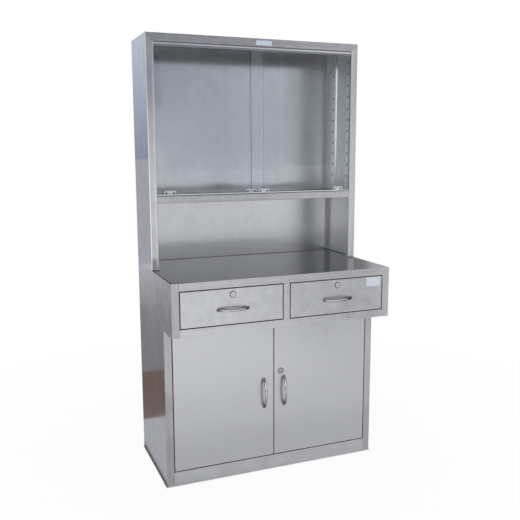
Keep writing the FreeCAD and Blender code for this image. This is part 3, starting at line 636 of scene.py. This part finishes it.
BACK_RIVETS = 6
BACK_RIVET_IN = 6.5 * MM
BACK_RIVET_END = 30 * MM
BACK_RIVET_RADIUS = 3.4 * MM
BACK_RIVET_RISE = 1.2 * MM
SCREW_RADIUS = 4.0 * MM
SCREW_RISE = 2.2 * MM


def back_rivets():
    """A column of rivets down each edge of both backs."""
    made = bmesh.new()
    for back, wall in (("base_back", "base_left_side"), ("hutch_back", "hutch_left_side")):
        low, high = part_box(back)
        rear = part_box(wall)[1].y
        for k in range(BACK_RIVETS):
            z = low.z + BACK_RIVET_END + (high.z - low.z - 2 * BACK_RIVET_END) * k / (BACK_RIVETS - 1)
            for x in (low.x + BACK_RIVET_IN, high.x - BACK_RIVET_IN):
                domed(made, Vector((x, rear, z)), BACKWARD, BACK_RIVET_RADIUS, BACK_RIVET_RISE)
    finished("back_rivets", made, "carcass", [zinc])


def pull_screws(side, kind, panel):
    """Screw heads behind a pull's feet, on the inner sheet."""
    low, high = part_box(side + "_" + kind + "_handle")
    middle = (low + high) / 2
    length_way = PULL_WAYS[kind][0]
    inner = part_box(side + "_" + panel)[0].y + SHEET
    made = bmesh.new()
    for way in (-1, 1):
        place = middle + length_way * (way * HANDLE_SPAN / 2)
        domed(made, Vector((place.x, inner, place.z)), BACKWARD, SCREW_RADIUS, SCREW_RISE)
    finished(side + "_" + kind + "_pull_screws", made, side + "_" + kind, [zinc])


back_rivets()
for side in SIDES:
    pull_screws(side, "drawer", "drawer_tray")
    pull_screws(side, "door", "door_liner")


# Pilasters: a dark sheet behind the slots as painted shade in their hollows, and a bright lip down each front
# edge as a painted highlight

PILASTER_WIDTH = 25 * MM
SLOT_SHADE_IN = 7 * MM
SLOT_SHADE_HALF_THICK = 0.6 * MM
SLOT_SHADE_HALF_WIDE = 8 * MM
SLOT_SHADE_END = 2 * MM
SLOT_SHADE_BEVEL = 0.2 * MM
LIP_IN = 0.05 * MM
LIP_SECTION = [(-5.4, 0.0), (-5.2, -0.4), (-0.4, -4.7), (0.0, -4.7), (0.0, 0.0)]


def pilaster_slot_shade():
    """A dark sheet behind the slots of each pilaster, painted shade for the hollows behind them."""
    low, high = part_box("shelf_pilasters")
    made = bmesh.new()
    half = Vector((SLOT_SHADE_HALF_THICK, SLOT_SHADE_HALF_WIDE, 0.0))
    for x in (low.x + SLOT_SHADE_IN, high.x - SLOT_SHADE_IN):
        for y in (low.y + PILASTER_WIDTH / 2, high.y - PILASTER_WIDTH / 2):
            foot = Vector((x, y, low.z + SLOT_SHADE_END))
            head = Vector((x, y, high.z - SLOT_SHADE_END))
            add_box(made, foot - half, head + half, SLOT_SHADE_BEVEL)
    finished("pilaster_slot_shade", made, "carcass", [black_plastic], smooth=False)


def pilaster_lips():
    """A sloping lip between each pilaster's front edge and the wall, in bright metal as a painted highlight
    along the edge.
    """
    low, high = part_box("shelf_pilasters")
    made = bmesh.new()
    for way in (-1, 1):
        for front in (low.y, high.y - PILASTER_WIDTH):
            ends = [Vector((way * (high.x - LIP_IN), front, z)) for z in (low.z, high.z)]
            swept(made, LIP_SECTION, ends, RIGHTWARD * way, BACKWARD)
    finished("pilaster_lips", made, "carcass", [edge_highlight_metal], smooth=False)


pilaster_slot_shade()
pilaster_lips()


# Foot strips: black strips along the side walls' lower edges as painted shade, steel under the plinth

FLOOR_GAP = 0.3 * MM
WALL_STRIP_OUT = 0.5 * MM
WALL_STRIP_IN = 2.4 * MM
WALL_STRIP_FRONT = 2 * MM
WALL_STRIP_REAR = 3 * MM
WALL_STRIP_LAP = 2 * MM
PLINTH_STRIP_END = 3 * MM
PLINTH_STRIP_BACK = 0.3 * MM


def foot_strips():
    """Strips that close the slits between the carcass and the floor; the black ones along the side walls are
    painted shade for the shadow gap there.
    """
    low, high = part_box("base_left_side")
    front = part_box("base_floor")[0].y
    half = -low.x
    mirrored_strips("wall_gap_shade_strips", foot_gap_shade,
                    (half + WALL_STRIP_OUT, half - WALL_STRIP_IN),
                    (front + WALL_STRIP_FRONT, high.y - WALL_STRIP_REAR), (FLOOR_GAP, low.z + WALL_STRIP_LAP))
    thin_plate("plinth_foot_strip", "carcass", rail_steel,
               (PLINTH_STRIP_END - half, half - PLINTH_STRIP_END),
               (front + PLINTH_STRIP_BACK, front + SHEET), (FLOOR_GAP, low.z - HAIRLINE))


foot_strips()


# Dark beads round the hutch's foot and dark strips on the tracks, painted shade along the joints and gaps,
# and the brush under the top track

FOOT_BEAD = [(0.0, 0.0), (3.6, 0.0), (1.3, 1.3), (0.0, 3.6)]
FOOT_BEAD_START = 24 * MM
SEAM_BEAD = [(0.0, 0.0), (-1.0, 0.0), (-0.4, 0.5), (0.0, 1.0)]
STILE_BEAD = 3.2 * MM
BACK_BEAD = 1.4 * MM
BACK_BEAD_OUT = 1 * MM
BACK_BEAD_END = 4 * MM
SHADE_STRIP_PROUD = 0.5 * MM
TOP_SHADE_DOWN = 4.2 * MM
BOTTOM_SHADE_FOOT = 0.05 * MM
BOTTOM_SHADE_UP = 3 * MM
BRUSH_PROUD = 0.45 * MM
BRUSH_DOWN = 5 * MM
BRUSH_UP = 3 * MM


def hutch_foot_shade_bead():
    """A dark bead along the foot of each niche wall, painted contact shade."""
    low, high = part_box("hutch_back")
    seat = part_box("worktop")[1].z + SHEET
    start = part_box("hutch_top")[0].y + FOOT_BEAD_START
    made = bmesh.new()
    for way in (-1, 1):
        ends = [Vector((way * high.x, y, seat)) for y in (start, low.y - SHEET)]
        swept(made, FOOT_BEAD, ends, RIGHTWARD * -way, UPWARD)
    finished("hutch_foot_shade_bead", made, "carcass", [grey_plastic], smooth=False)


def track_shade_strips_and_brush():
    """Dark strips along the front of both tracks, painted shade in the gaps there, and the brush under the
    top track.
    """
    low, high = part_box("glass_top_track")
    thin_plate("top_track_shade_strip", "carcass", grey_plastic, (low.x, high.x),
               (low.y - SHADE_STRIP_PROUD, low.y - HAIRLINE), (high.z - TOP_SHADE_DOWN, high.z - HAIRLINE))
    thin_plate("top_track_brush", "carcass", brush_seal, (low.x, high.x),
               (low.y - BRUSH_PROUD, low.y - HAIRLINE), (low.z - BRUSH_DOWN, low.z + BRUSH_UP))
    low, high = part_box("glass_bottom_track")
    thin_plate("bottom_track_shade_strip", "carcass", grey_plastic, (low.x, high.x),
               (low.y - SHADE_STRIP_PROUD, low.y - HAIRLINE), (low.z + BOTTOM_SHADE_FOOT, low.z + BOTTOM_SHADE_UP))


def hutch_joint_shade_bead():
    """Dark beads on the worktop before both stiles and along the niche's back, painted contact shade at the
    joints.
    """
    low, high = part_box("hutch_back")
    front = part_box("hutch_top")[0].y
    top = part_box("worktop")[1].z
    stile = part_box("hutch_left_side")[1].x
    made = bmesh.new()
    for face, first, second, size in (
            (front, -high.x, stile, STILE_BEAD), (front, -stile, high.x, STILE_BEAD),
            (low.y - BACK_BEAD_OUT, low.x + BACK_BEAD_END, high.x - BACK_BEAD_END, BACK_BEAD)):
        ends = [Vector((x, face, top)) for x in (first, second)]
        swept(made, SEAM_BEAD, ends, BACKWARD, UPWARD, unit=size)
    finished("hutch_joint_shade_bead", made, "carcass", [grey_plastic], smooth=False)


hutch_foot_shade_bead()
track_shade_strips_and_brush()
hutch_joint_shade_bead()


# Seams and folds of the hutch and the worktop, with painted shade on the seams, a painted highlight on the
# stile's fold and a painted dark reflection along the worktop's rim

MITRE_SECTION = [(-0.8, 0.0), (0.8, 0.0), (0.8, 0.12), (-0.8, 0.12)]
MITRE_START = 1.4 * MM
MITRE_END = 41.6 * MM
SEAM_GAP = 0.01 * MM
STILE_FOOT = 4 * MM
STILE_ROLL_STEPS = 6
STILE_ROLL_FLAT = 8.0
STILE_ROLL_RADIUS = 3.5
STILE_ROLL_RISE = 1.3
STILE_ROLL_TOP = 29.8 * MM
STILE_FOLD_SECTION = [(0.1, 1.0), (0.1, -0.1), (0.7, -0.5), (2.2, -0.5), (2.6, 0.02)]
STILE_FOLD_TOP = 1.8 * MM
WORKTOP_REFLECTION_IN = 1 * MM
WORKTOP_REFLECTION_GAP = 3 * MM
WORKTOP_REFLECTION_WIDTH = 4.5
WORKTOP_REFLECTION_LOW = 0.02
WORKTOP_REFLECTION_HIGH = 0.15
WORKTOP_REFLECTION_CORNER = [((0.0, 17.0), (5.5, 17.0)), ((0.0, 0.0), (13.0, 11.0)),
                       ((50.0, 0.0), (50.0, 5.0)), ((70.0, 0.0), (70.0, 1.0))]


def mitre_seams():
    """Thin slanting dark lines where the hutch's stiles meet its top rail: the seam, widened with painted
    shade.
    """
    low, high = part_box("hutch_top")
    made = bmesh.new()
    for way in (-1, 1):
        run = Vector((-way, 0.0, -1.0)).normalized()
        across = Vector((-way, 0.0, 1.0)).normalized()
        corner = Vector((way * high.x, low.y - SEAM_GAP, high.z))
        swept(made, MITRE_SECTION, [corner + run * MITRE_START, corner + run * MITRE_END], across, FORWARD)
    finished("mitre_seams", made, "carcass", [seam_and_corner_shade_steel], smooth=False)


def left_stile_folds():
    """The left stile's inner edge, rolled in, and its outer edge, folded round in bright metal as a painted
    highlight.
    """
    low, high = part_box("hutch_left_side")
    foot = low.z + STILE_FOOT
    turns = [math.pi / 2 * k / STILE_ROLL_STEPS for k in range(STILE_ROLL_STEPS + 1)]
    section = [(-STILE_ROLL_FLAT, 0.0)]
    for turn in turns:
        inwards = STILE_ROLL_RADIUS * math.sin(turn) - STILE_ROLL_RADIUS
        section.append((inwards, -STILE_ROLL_RISE * math.cos(turn)))
    made = bmesh.new()
    ends = [Vector((high.x, low.y - SEAM_GAP, z)) for z in (foot, high.z - STILE_ROLL_TOP)]
    swept(made, section, ends, RIGHTWARD, BACKWARD)
    finished("left_stile_roll", made, "carcass", [inner_steel])
    made = bmesh.new()
    ends = [Vector((low.x, low.y, z)) for z in (foot, high.z - STILE_FOLD_TOP)]
    swept(made, STILE_FOLD_SECTION, ends, RIGHTWARD, BACKWARD)
    finished("left_stile_fold", made, "carcass", [edge_highlight_metal])


def worktop_rim_reflection():
    """A dark line down the worktop's left rim, a painted reflection of its rounded fold, which widens at the
    front corner and tapers off along the front.
    """
    low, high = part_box("worktop")
    corner = Vector((low.x + WORKTOP_REFLECTION_IN, low.y + WORKTOP_REFLECTION_IN, high.z))
    rear = (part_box("hutch_top")[0].y - WORKTOP_REFLECTION_GAP - corner.y) / MM
    made = bmesh.new()
    rings = []
    for outer, inner in [((0.0, rear), (WORKTOP_REFLECTION_WIDTH, rear))] + WORKTOP_REFLECTION_CORNER:
        outline = [(*outer, WORKTOP_REFLECTION_LOW), (*inner, WORKTOP_REFLECTION_LOW), (*inner, WORKTOP_REFLECTION_HIGH),
                   (*outer, WORKTOP_REFLECTION_HIGH)]
        rings.append([corner + Vector(point) * MM for point in outline])
    skin_rings(made, rings)
    finished("worktop_rim_reflection", made, "carcass", [fold_reflection_steel], smooth=False)


mitre_seams()
left_stile_folds()
worktop_rim_reflection()


# Strips over the back's flanges, in the niche and in the glass case, darker than the back as painted shade in
# the rear corners

FLANGE = 15 * MM
FLANGE_PROUD = 1 * MM
NICHE_STRIP_TOP = 1.5 * MM
CASE_STRIP_TOP = 1 * MM


def corner_shade_strips():
    """A strip down each rear corner of the niche and of the case, darker as painted shade in the corner."""
    low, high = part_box("hutch_back")
    case_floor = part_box("hutch_shelf")[1].z
    for name, bottom, top, mat in (
            ("niche_corner_shade_strips", low.z, case_floor - NICHE_STRIP_TOP, seam_and_corner_shade_steel),
            ("case_corner_shade_strips", case_floor, high.z - CASE_STRIP_TOP, case_corner_shade_steel)):
        mirrored_strips(name, mat, (high.x, high.x - FLANGE), (low.y - FLANGE_PROUD, low.y),
                        (bottom, top))


corner_shade_strips()


# Blank plates on the top rail and on the right drawer

RAIL_PLATE_X = (-8 * MM, 60 * MM)
RAIL_PLATE_UP = (4 * MM, 22 * MM)
RAIL_PLATE_THICK = 0.6 * MM
DRAWER_PLATE_IN = (71 * MM, 9 * MM)
DRAWER_PLATE_DOWN = (38 * MM, 1.5 * MM)
DRAWER_PLATE_THICK = 0.5 * MM


def blank_plates():
    """Two thin plates without any marks."""
    low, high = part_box("hutch_top")
    thin_plate("top_rail_plate", "carcass", plate_blue, RAIL_PLATE_X,
               (low.y - RAIL_PLATE_THICK, low.y), [low.z + up for up in RAIL_PLATE_UP])
    low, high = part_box("right_drawer_front")
    thin_plate("drawer_plate", "right_drawer", plate_pale,
               [high.x - inwards for inwards in DRAWER_PLATE_IN],
               (low.y - DRAWER_PLATE_THICK, low.y), [high.z - down for down in DRAWER_PLATE_DOWN])


blank_plates()


# Camera at the photograph's place

CAMERA_PLACE = (-1.04219, -2.56395, 1.30389)
CAMERA_LENS = 47.30
CAMERA_SENSOR = 36.0
CAMERA_NEAR = 0.05
CAMERA_AZIMUTH = math.radians(21.99)
CAMERA_DOWN = math.radians(9.316)
CAMERA_ROLL = math.radians(-0.19)


def add_camera():
    """The camera, turned by its azimuth, its look down and a slight roll."""
    data = bpy.data.cameras.new("camera")
    data.lens = CAMERA_LENS
    data.sensor_width = CAMERA_SENSOR
    data.clip_start = CAMERA_NEAR
    camera = bpy.data.objects.new("camera", data)
    scene.collection.objects.link(camera)
    level = math.cos(CAMERA_DOWN)
    look = Vector((math.sin(CAMERA_AZIMUTH) * level, math.cos(CAMERA_AZIMUTH) * level,
                   -math.sin(CAMERA_DOWN)))
    turn = look.to_track_quat("-Z", "Y").to_matrix().to_4x4()
    camera.matrix_world = Matrix.Translation(CAMERA_PLACE) @ turn @ Matrix.Rotation(CAMERA_ROLL, 4, "Z")
    scene.camera = camera


add_camera()


# Studio: white surround and pale floor

SURROUND_LIGHT = 0.45
FLOOR_HALF = 30.0
FLOOR_GRAIN = (5.0, 5.0, 5.0)
FLOOR_TONE = ((0.86, 0.86, 0.86), (0.90, 0.90, 0.90))
FLOOR_DULL = 0.9
NEAR_WHITE = 0.94
FADE_START = 0.5
FADE_END = 2.2
CONTACT_START = 1 * MM
CONTACT_END = 6 * MM


def seen(tree):
    """1 for rays from the camera, mirrors and glass, else 0."""
    path = node(tree, "ShaderNodeLightPath")
    total = added(tree, path.outputs["Is Camera Ray"], path.outputs["Is Glossy Ray"],
                  path.outputs["Is Transmission Ray"])
    clamp = node(tree, "ShaderNodeClamp")
    tree.links.new(total, clamp.inputs["Value"])
    return clamp.outputs["Result"]


def white_surround():
    """A world that looks white and lights the set less strongly."""
    world = bpy.data.worlds.new("surround")
    scene.world = world
    world.use_nodes = True
    tree = world.node_tree
    background = tree.nodes["Background"]
    background.inputs["Color"].default_value = (1.0, 1.0, 1.0, 1.0)
    tree.links.new(ranged(tree, seen(tree), SURROUND_LIGHT, 1.0, 0.0, 1.0), background.inputs["Strength"])


def floor_material():
    """Pale floor that looks white, a little less so near the cabinet, and is shaded close to its foot."""
    mat, tree, shader = new_material("floor")
    grain = stretched_noise(tree, FLOOR_GRAIN)
    tree.links.new(mixed(tree, ranged(tree, grain, 0.0, 1.0), *FLOOR_TONE), shader.inputs["Base Color"])
    shader.inputs["Roughness"].default_value = FLOOR_DULL
    shader.inputs["Specular IOR Level"].default_value = 0.0
    place = own_place(tree)
    spread = node(tree, "ShaderNodeVectorMath", operation="LENGTH")
    tree.links.new(place, spread.inputs[0])
    low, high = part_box("base_left_side")
    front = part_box("base_floor")[0].y
    outside = []
    for axis, lowest, highest in (("X", low.x, -low.x), ("Y", front, high.y)):
        offset = computed(tree, "SUBTRACT", one_axis(tree, place, axis), (lowest + highest) / 2)
        away = computed(tree, "ABSOLUTE", offset)
        outside.append(computed(tree, "SUBTRACT", away, (highest - lowest) / 2))
    apart = computed(tree, "MAXIMUM", *outside)
    white = computed(tree, "MULTIPLY", seen(tree),
                     ranged(tree, spread.outputs["Value"], NEAR_WHITE, 1.0, FADE_START, FADE_END))
    white = computed(tree, "MULTIPLY", white, ranged(tree, apart, 0.0, 1.0, CONTACT_START, CONTACT_END))
    glow = node(tree, "ShaderNodeEmission")
    mix = node(tree, "ShaderNodeMixShader")
    tree.links.new(white, mix.inputs["Fac"])
    tree.links.new(shader.outputs["BSDF"], mix.inputs[1])
    tree.links.new(glow.outputs["Emission"], mix.inputs[2])
    tree.links.new(mix.outputs["Shader"], tree.nodes["Material Output"].inputs["Surface"])
    return mat


def flat(name, corners, mat):
    """A four-cornered sheet of the studio."""
    mesh_data = bpy.data.meshes.new(name)
    mesh_data.from_pydata(corners, [], [(0, 1, 2, 3)])
    mesh_data.materials.append(mat)
    piece = bpy.data.objects.new(name, mesh_data)
    scene.collection.objects.link(piece)
    return piece


white_surround()
flat("floor", [(-FLOOR_HALF, -FLOOR_HALF, 0), (FLOOR_HALF, -FLOOR_HALF, 0), (FLOOR_HALF, FLOOR_HALF, 0),
               (-FLOOR_HALF, FLOOR_HALF, 0)], floor_material())


# Studio: soft boxes, which no shiny face shows

LAMP_TARGET = Vector((0, 0, 0.9))


def soft_box(name, place, size, power):
    """A rectangular lamp that looks at the middle of the cabinet."""
    data = bpy.data.lights.new(name, "AREA")
    data.shape = "RECTANGLE"
    data.size, data.size_y = size
    data.energy = power
    lamp = bpy.data.objects.new(name, data)
    lamp.location = place
    lamp.rotation_euler = (LAMP_TARGET - Vector(place)).to_track_quat("-Z", "Y").to_euler()
    lamp.visible_glossy = False
    scene.collection.objects.link(lamp)


soft_box("key", place=(-1.8, -3.2, 3.2), size=(2.2, 1.6), power=55)
soft_box("fill", place=(3.0, -2.0, 2.4), size=(2.0, 2.0), power=25)


# Studio: cards round the set, which only shiny faces and glass show

FRONT_Y = -3.4
BACK_LEFT_Y = 3.0
BACK_RIGHT_Y = 2.6
GLOW_Y = FRONT_Y + 10 * MM
LEFT_CARD_X = -3.0
RIGHT_CARD_X = 3.0
FRONT_SPLIT_X = 0.47
FRONT_BEND_X = 1.6
BACK_LEFT_X = (-2.2, -0.7)
BACK_FOOT_TOP = 0.35
BACK_SPLIT_Z = 1.215
SLANT = ((FRONT_BEND_X, -3.3), (4.0, -2.4))
LOW_SLANT = ((1.25, -2.95), (2.06, -2.84))
CEILING_Z = 2.9
CEILING_Y = (-3.4, -0.5)
CARD_LIFT = 12 * MM
FOOT_LIFT = 1.5 * MM


def card(name, corners, colour, top_colour=None):
    """A glowing sheet; it may shade into another colour at its top."""
    mat = bpy.data.materials.new(name)
    mat.use_nodes = True
    tree = mat.node_tree
    tree.nodes.clear()
    glow = node(tree, "ShaderNodeEmission")
    glow.inputs["Color"].default_value = (*colour, 1.0)
    if top_colour:
        rise = one_axis(tree, node(tree, "ShaderNodeTexCoord").outputs["Generated"], "Z")
        tree.links.new(mixed(tree, rise, colour, top_colour), glow.inputs["Color"])
    out = node(tree, "ShaderNodeOutputMaterial")
    tree.links.new(glow.outputs["Emission"], out.inputs["Surface"])
    piece = flat(name, corners, mat)
    piece.visible_camera = False
    piece.visible_diffuse = False
    piece.visible_shadow = False


def upright_card(name, ends, heights, colour, top_colour=None):
    """A card that stands on the line between two floor points."""
    first, second = ends
    low, high = heights
    card(name, [(*first, low), (*second, low), (*second, high), (*first, high)], colour, top_colour)


def cross_card(name, x, y, heights, colour, top_colour=None):
    """An upright card across the set, facing the cabinet's front or back."""
    upright_card(name, ((x[0], y), (x[1], y)), heights, colour, top_colour)


def side_card(name, x, y, heights, colour):
    """An upright card at one side of the set."""
    upright_card(name, ((x, y[0]), (x, y[1])), heights, colour)


def lying_card(name, x, y, height, colour):
    """A level card."""
    corners = [(x[0], y[0], height), (x[1], y[0], height), (x[1], y[1], height), (x[0], y[1], height)]
    card(name, corners, colour)


cross_card("front_left_high", (-2.0, FRONT_SPLIT_X), FRONT_Y, (1.65, 3.4), (0.40, 0.41, 0.46))
cross_card("front_high", (FRONT_SPLIT_X, 1.5), FRONT_Y, (2.2, 3.4), (0.42, 0.43, 0.46))
cross_card("front_high_mid", (1.5, 2.0), FRONT_Y, (2.2, 3.4), (0.90, 0.90, 0.93))
cross_card("front_middle", (FRONT_SPLIT_X, FRONT_BEND_X), FRONT_Y, (1.1, 2.2), (0.72, 0.73, 0.75))
cross_card("front_mid_low", (FRONT_SPLIT_X, FRONT_BEND_X), FRONT_Y, (0.3, 1.1), (0.90, 0.90, 0.91))
upright_card("front_right", SLANT, (1.15, 2.2), (0.83, 0.83, 0.85))
upright_card("front_right_mid", SLANT, (0.45, 1.15), (1.15, 1.15, 1.16))
upright_card("front_right_low", LOW_SLANT, (0.013, 0.45), (0.25, 0.25, 0.26))
lying_card("front_right_floor", (1.1, 2.06), (-2.84, -2.2), CARD_LIFT, (0.46, 0.46, 0.47))
cross_card("front_left_mid", (0.1, FRONT_SPLIT_X), FRONT_Y, (1.3, 1.65), (0.80, 0.80, 0.82))
cross_card("stile_top_glow", (0.15, FRONT_SPLIT_X), GLOW_Y, (2.12, 2.2), (0.92, 0.92, 0.95))
cross_card("front_left_low", (-2.8, -0.5), FRONT_Y, (0.05, 1.1), (1.6, 1.6, 1.62))
cross_card("back_right", (0.5, 2.08), BACK_RIGHT_Y, (0.6, 2.6), (0.28, 0.28, 0.29))
cross_card("back_right_far", (2.08, 2.8), BACK_RIGHT_Y, (0.6, 2.6), (0.66, 0.66, 0.68))
lying_card("front_floor_near", (-0.6, 1.2), (-0.65, -0.13), FOOT_LIFT, (0.66, 0.66, 0.67))
lying_card("front_floor_far", (-0.6, 2.0), (-1.1, -0.55), CARD_LIFT, (0.80, 0.80, 0.81))
lying_card("front_floor_right", (0.85, 2.0), (-2.2, -1.1), CARD_LIFT, (0.82, 0.82, 0.83))
lying_card("front_ceiling", (-3.5, 1.2), CEILING_Y, CEILING_Z, (0.20, 0.20, 0.25))
lying_card("front_ceiling_right", (1.2, 3.2), CEILING_Y, CEILING_Z, (0.55, 0.55, 0.57))
cross_card("back_left_foot", BACK_LEFT_X, BACK_LEFT_Y, (0.0, BACK_FOOT_TOP), (0.35, 0.34, 0.365),
           top_colour=(0.64, 0.64, 0.70))
cross_card("back_left_low", BACK_LEFT_X, BACK_LEFT_Y, (BACK_FOOT_TOP, BACK_SPLIT_Z), (0.49, 0.49, 0.54))
cross_card("back_left_high", BACK_LEFT_X, BACK_LEFT_Y, (BACK_SPLIT_Z, 3.2), (0.34, 0.375, 0.455),
           top_colour=(1.02, 1.11, 1.23))
lying_card("back_floor_far", (-1.6, -0.46), (1.25, 3.0), CARD_LIFT, (0.30, 0.29, 0.31))
lying_card("back_floor_near", (-1.6, -0.46), (0.55, 1.25), CARD_LIFT, (0.22, 0.16, 0.15))
lying_card("back_floor_foot", (-1.6, -0.461), (-0.6, 0.65), FOOT_LIFT, (0.57, 0.58, 0.61))
lying_card("wall_foot_shade", (-0.461, -0.4515), (-0.6, 0.65), FOOT_LIFT, (0.24, 0.24, 0.25))
lying_card("front_left_floor", (-2.8, -0.75), (-3.3, -0.75), CARD_LIFT, (0.07, 0.07, 0.07))
side_card("left_dark_front", LEFT_CARD_X, (-3.2, -1.6), (0.0, 1.1), (0.06, 0.06, 0.06))
side_card("left_dark", LEFT_CARD_X, (-1.6, 0.6), (0.0, 2.9), (0.08, 0.08, 0.09))
side_card("right_dark", RIGHT_CARD_X, (-1.6, 0.6), (0.0, 2.2), (0.10, 0.10, 0.11))


# Output

scene.view_settings.view_transform = "Standard"
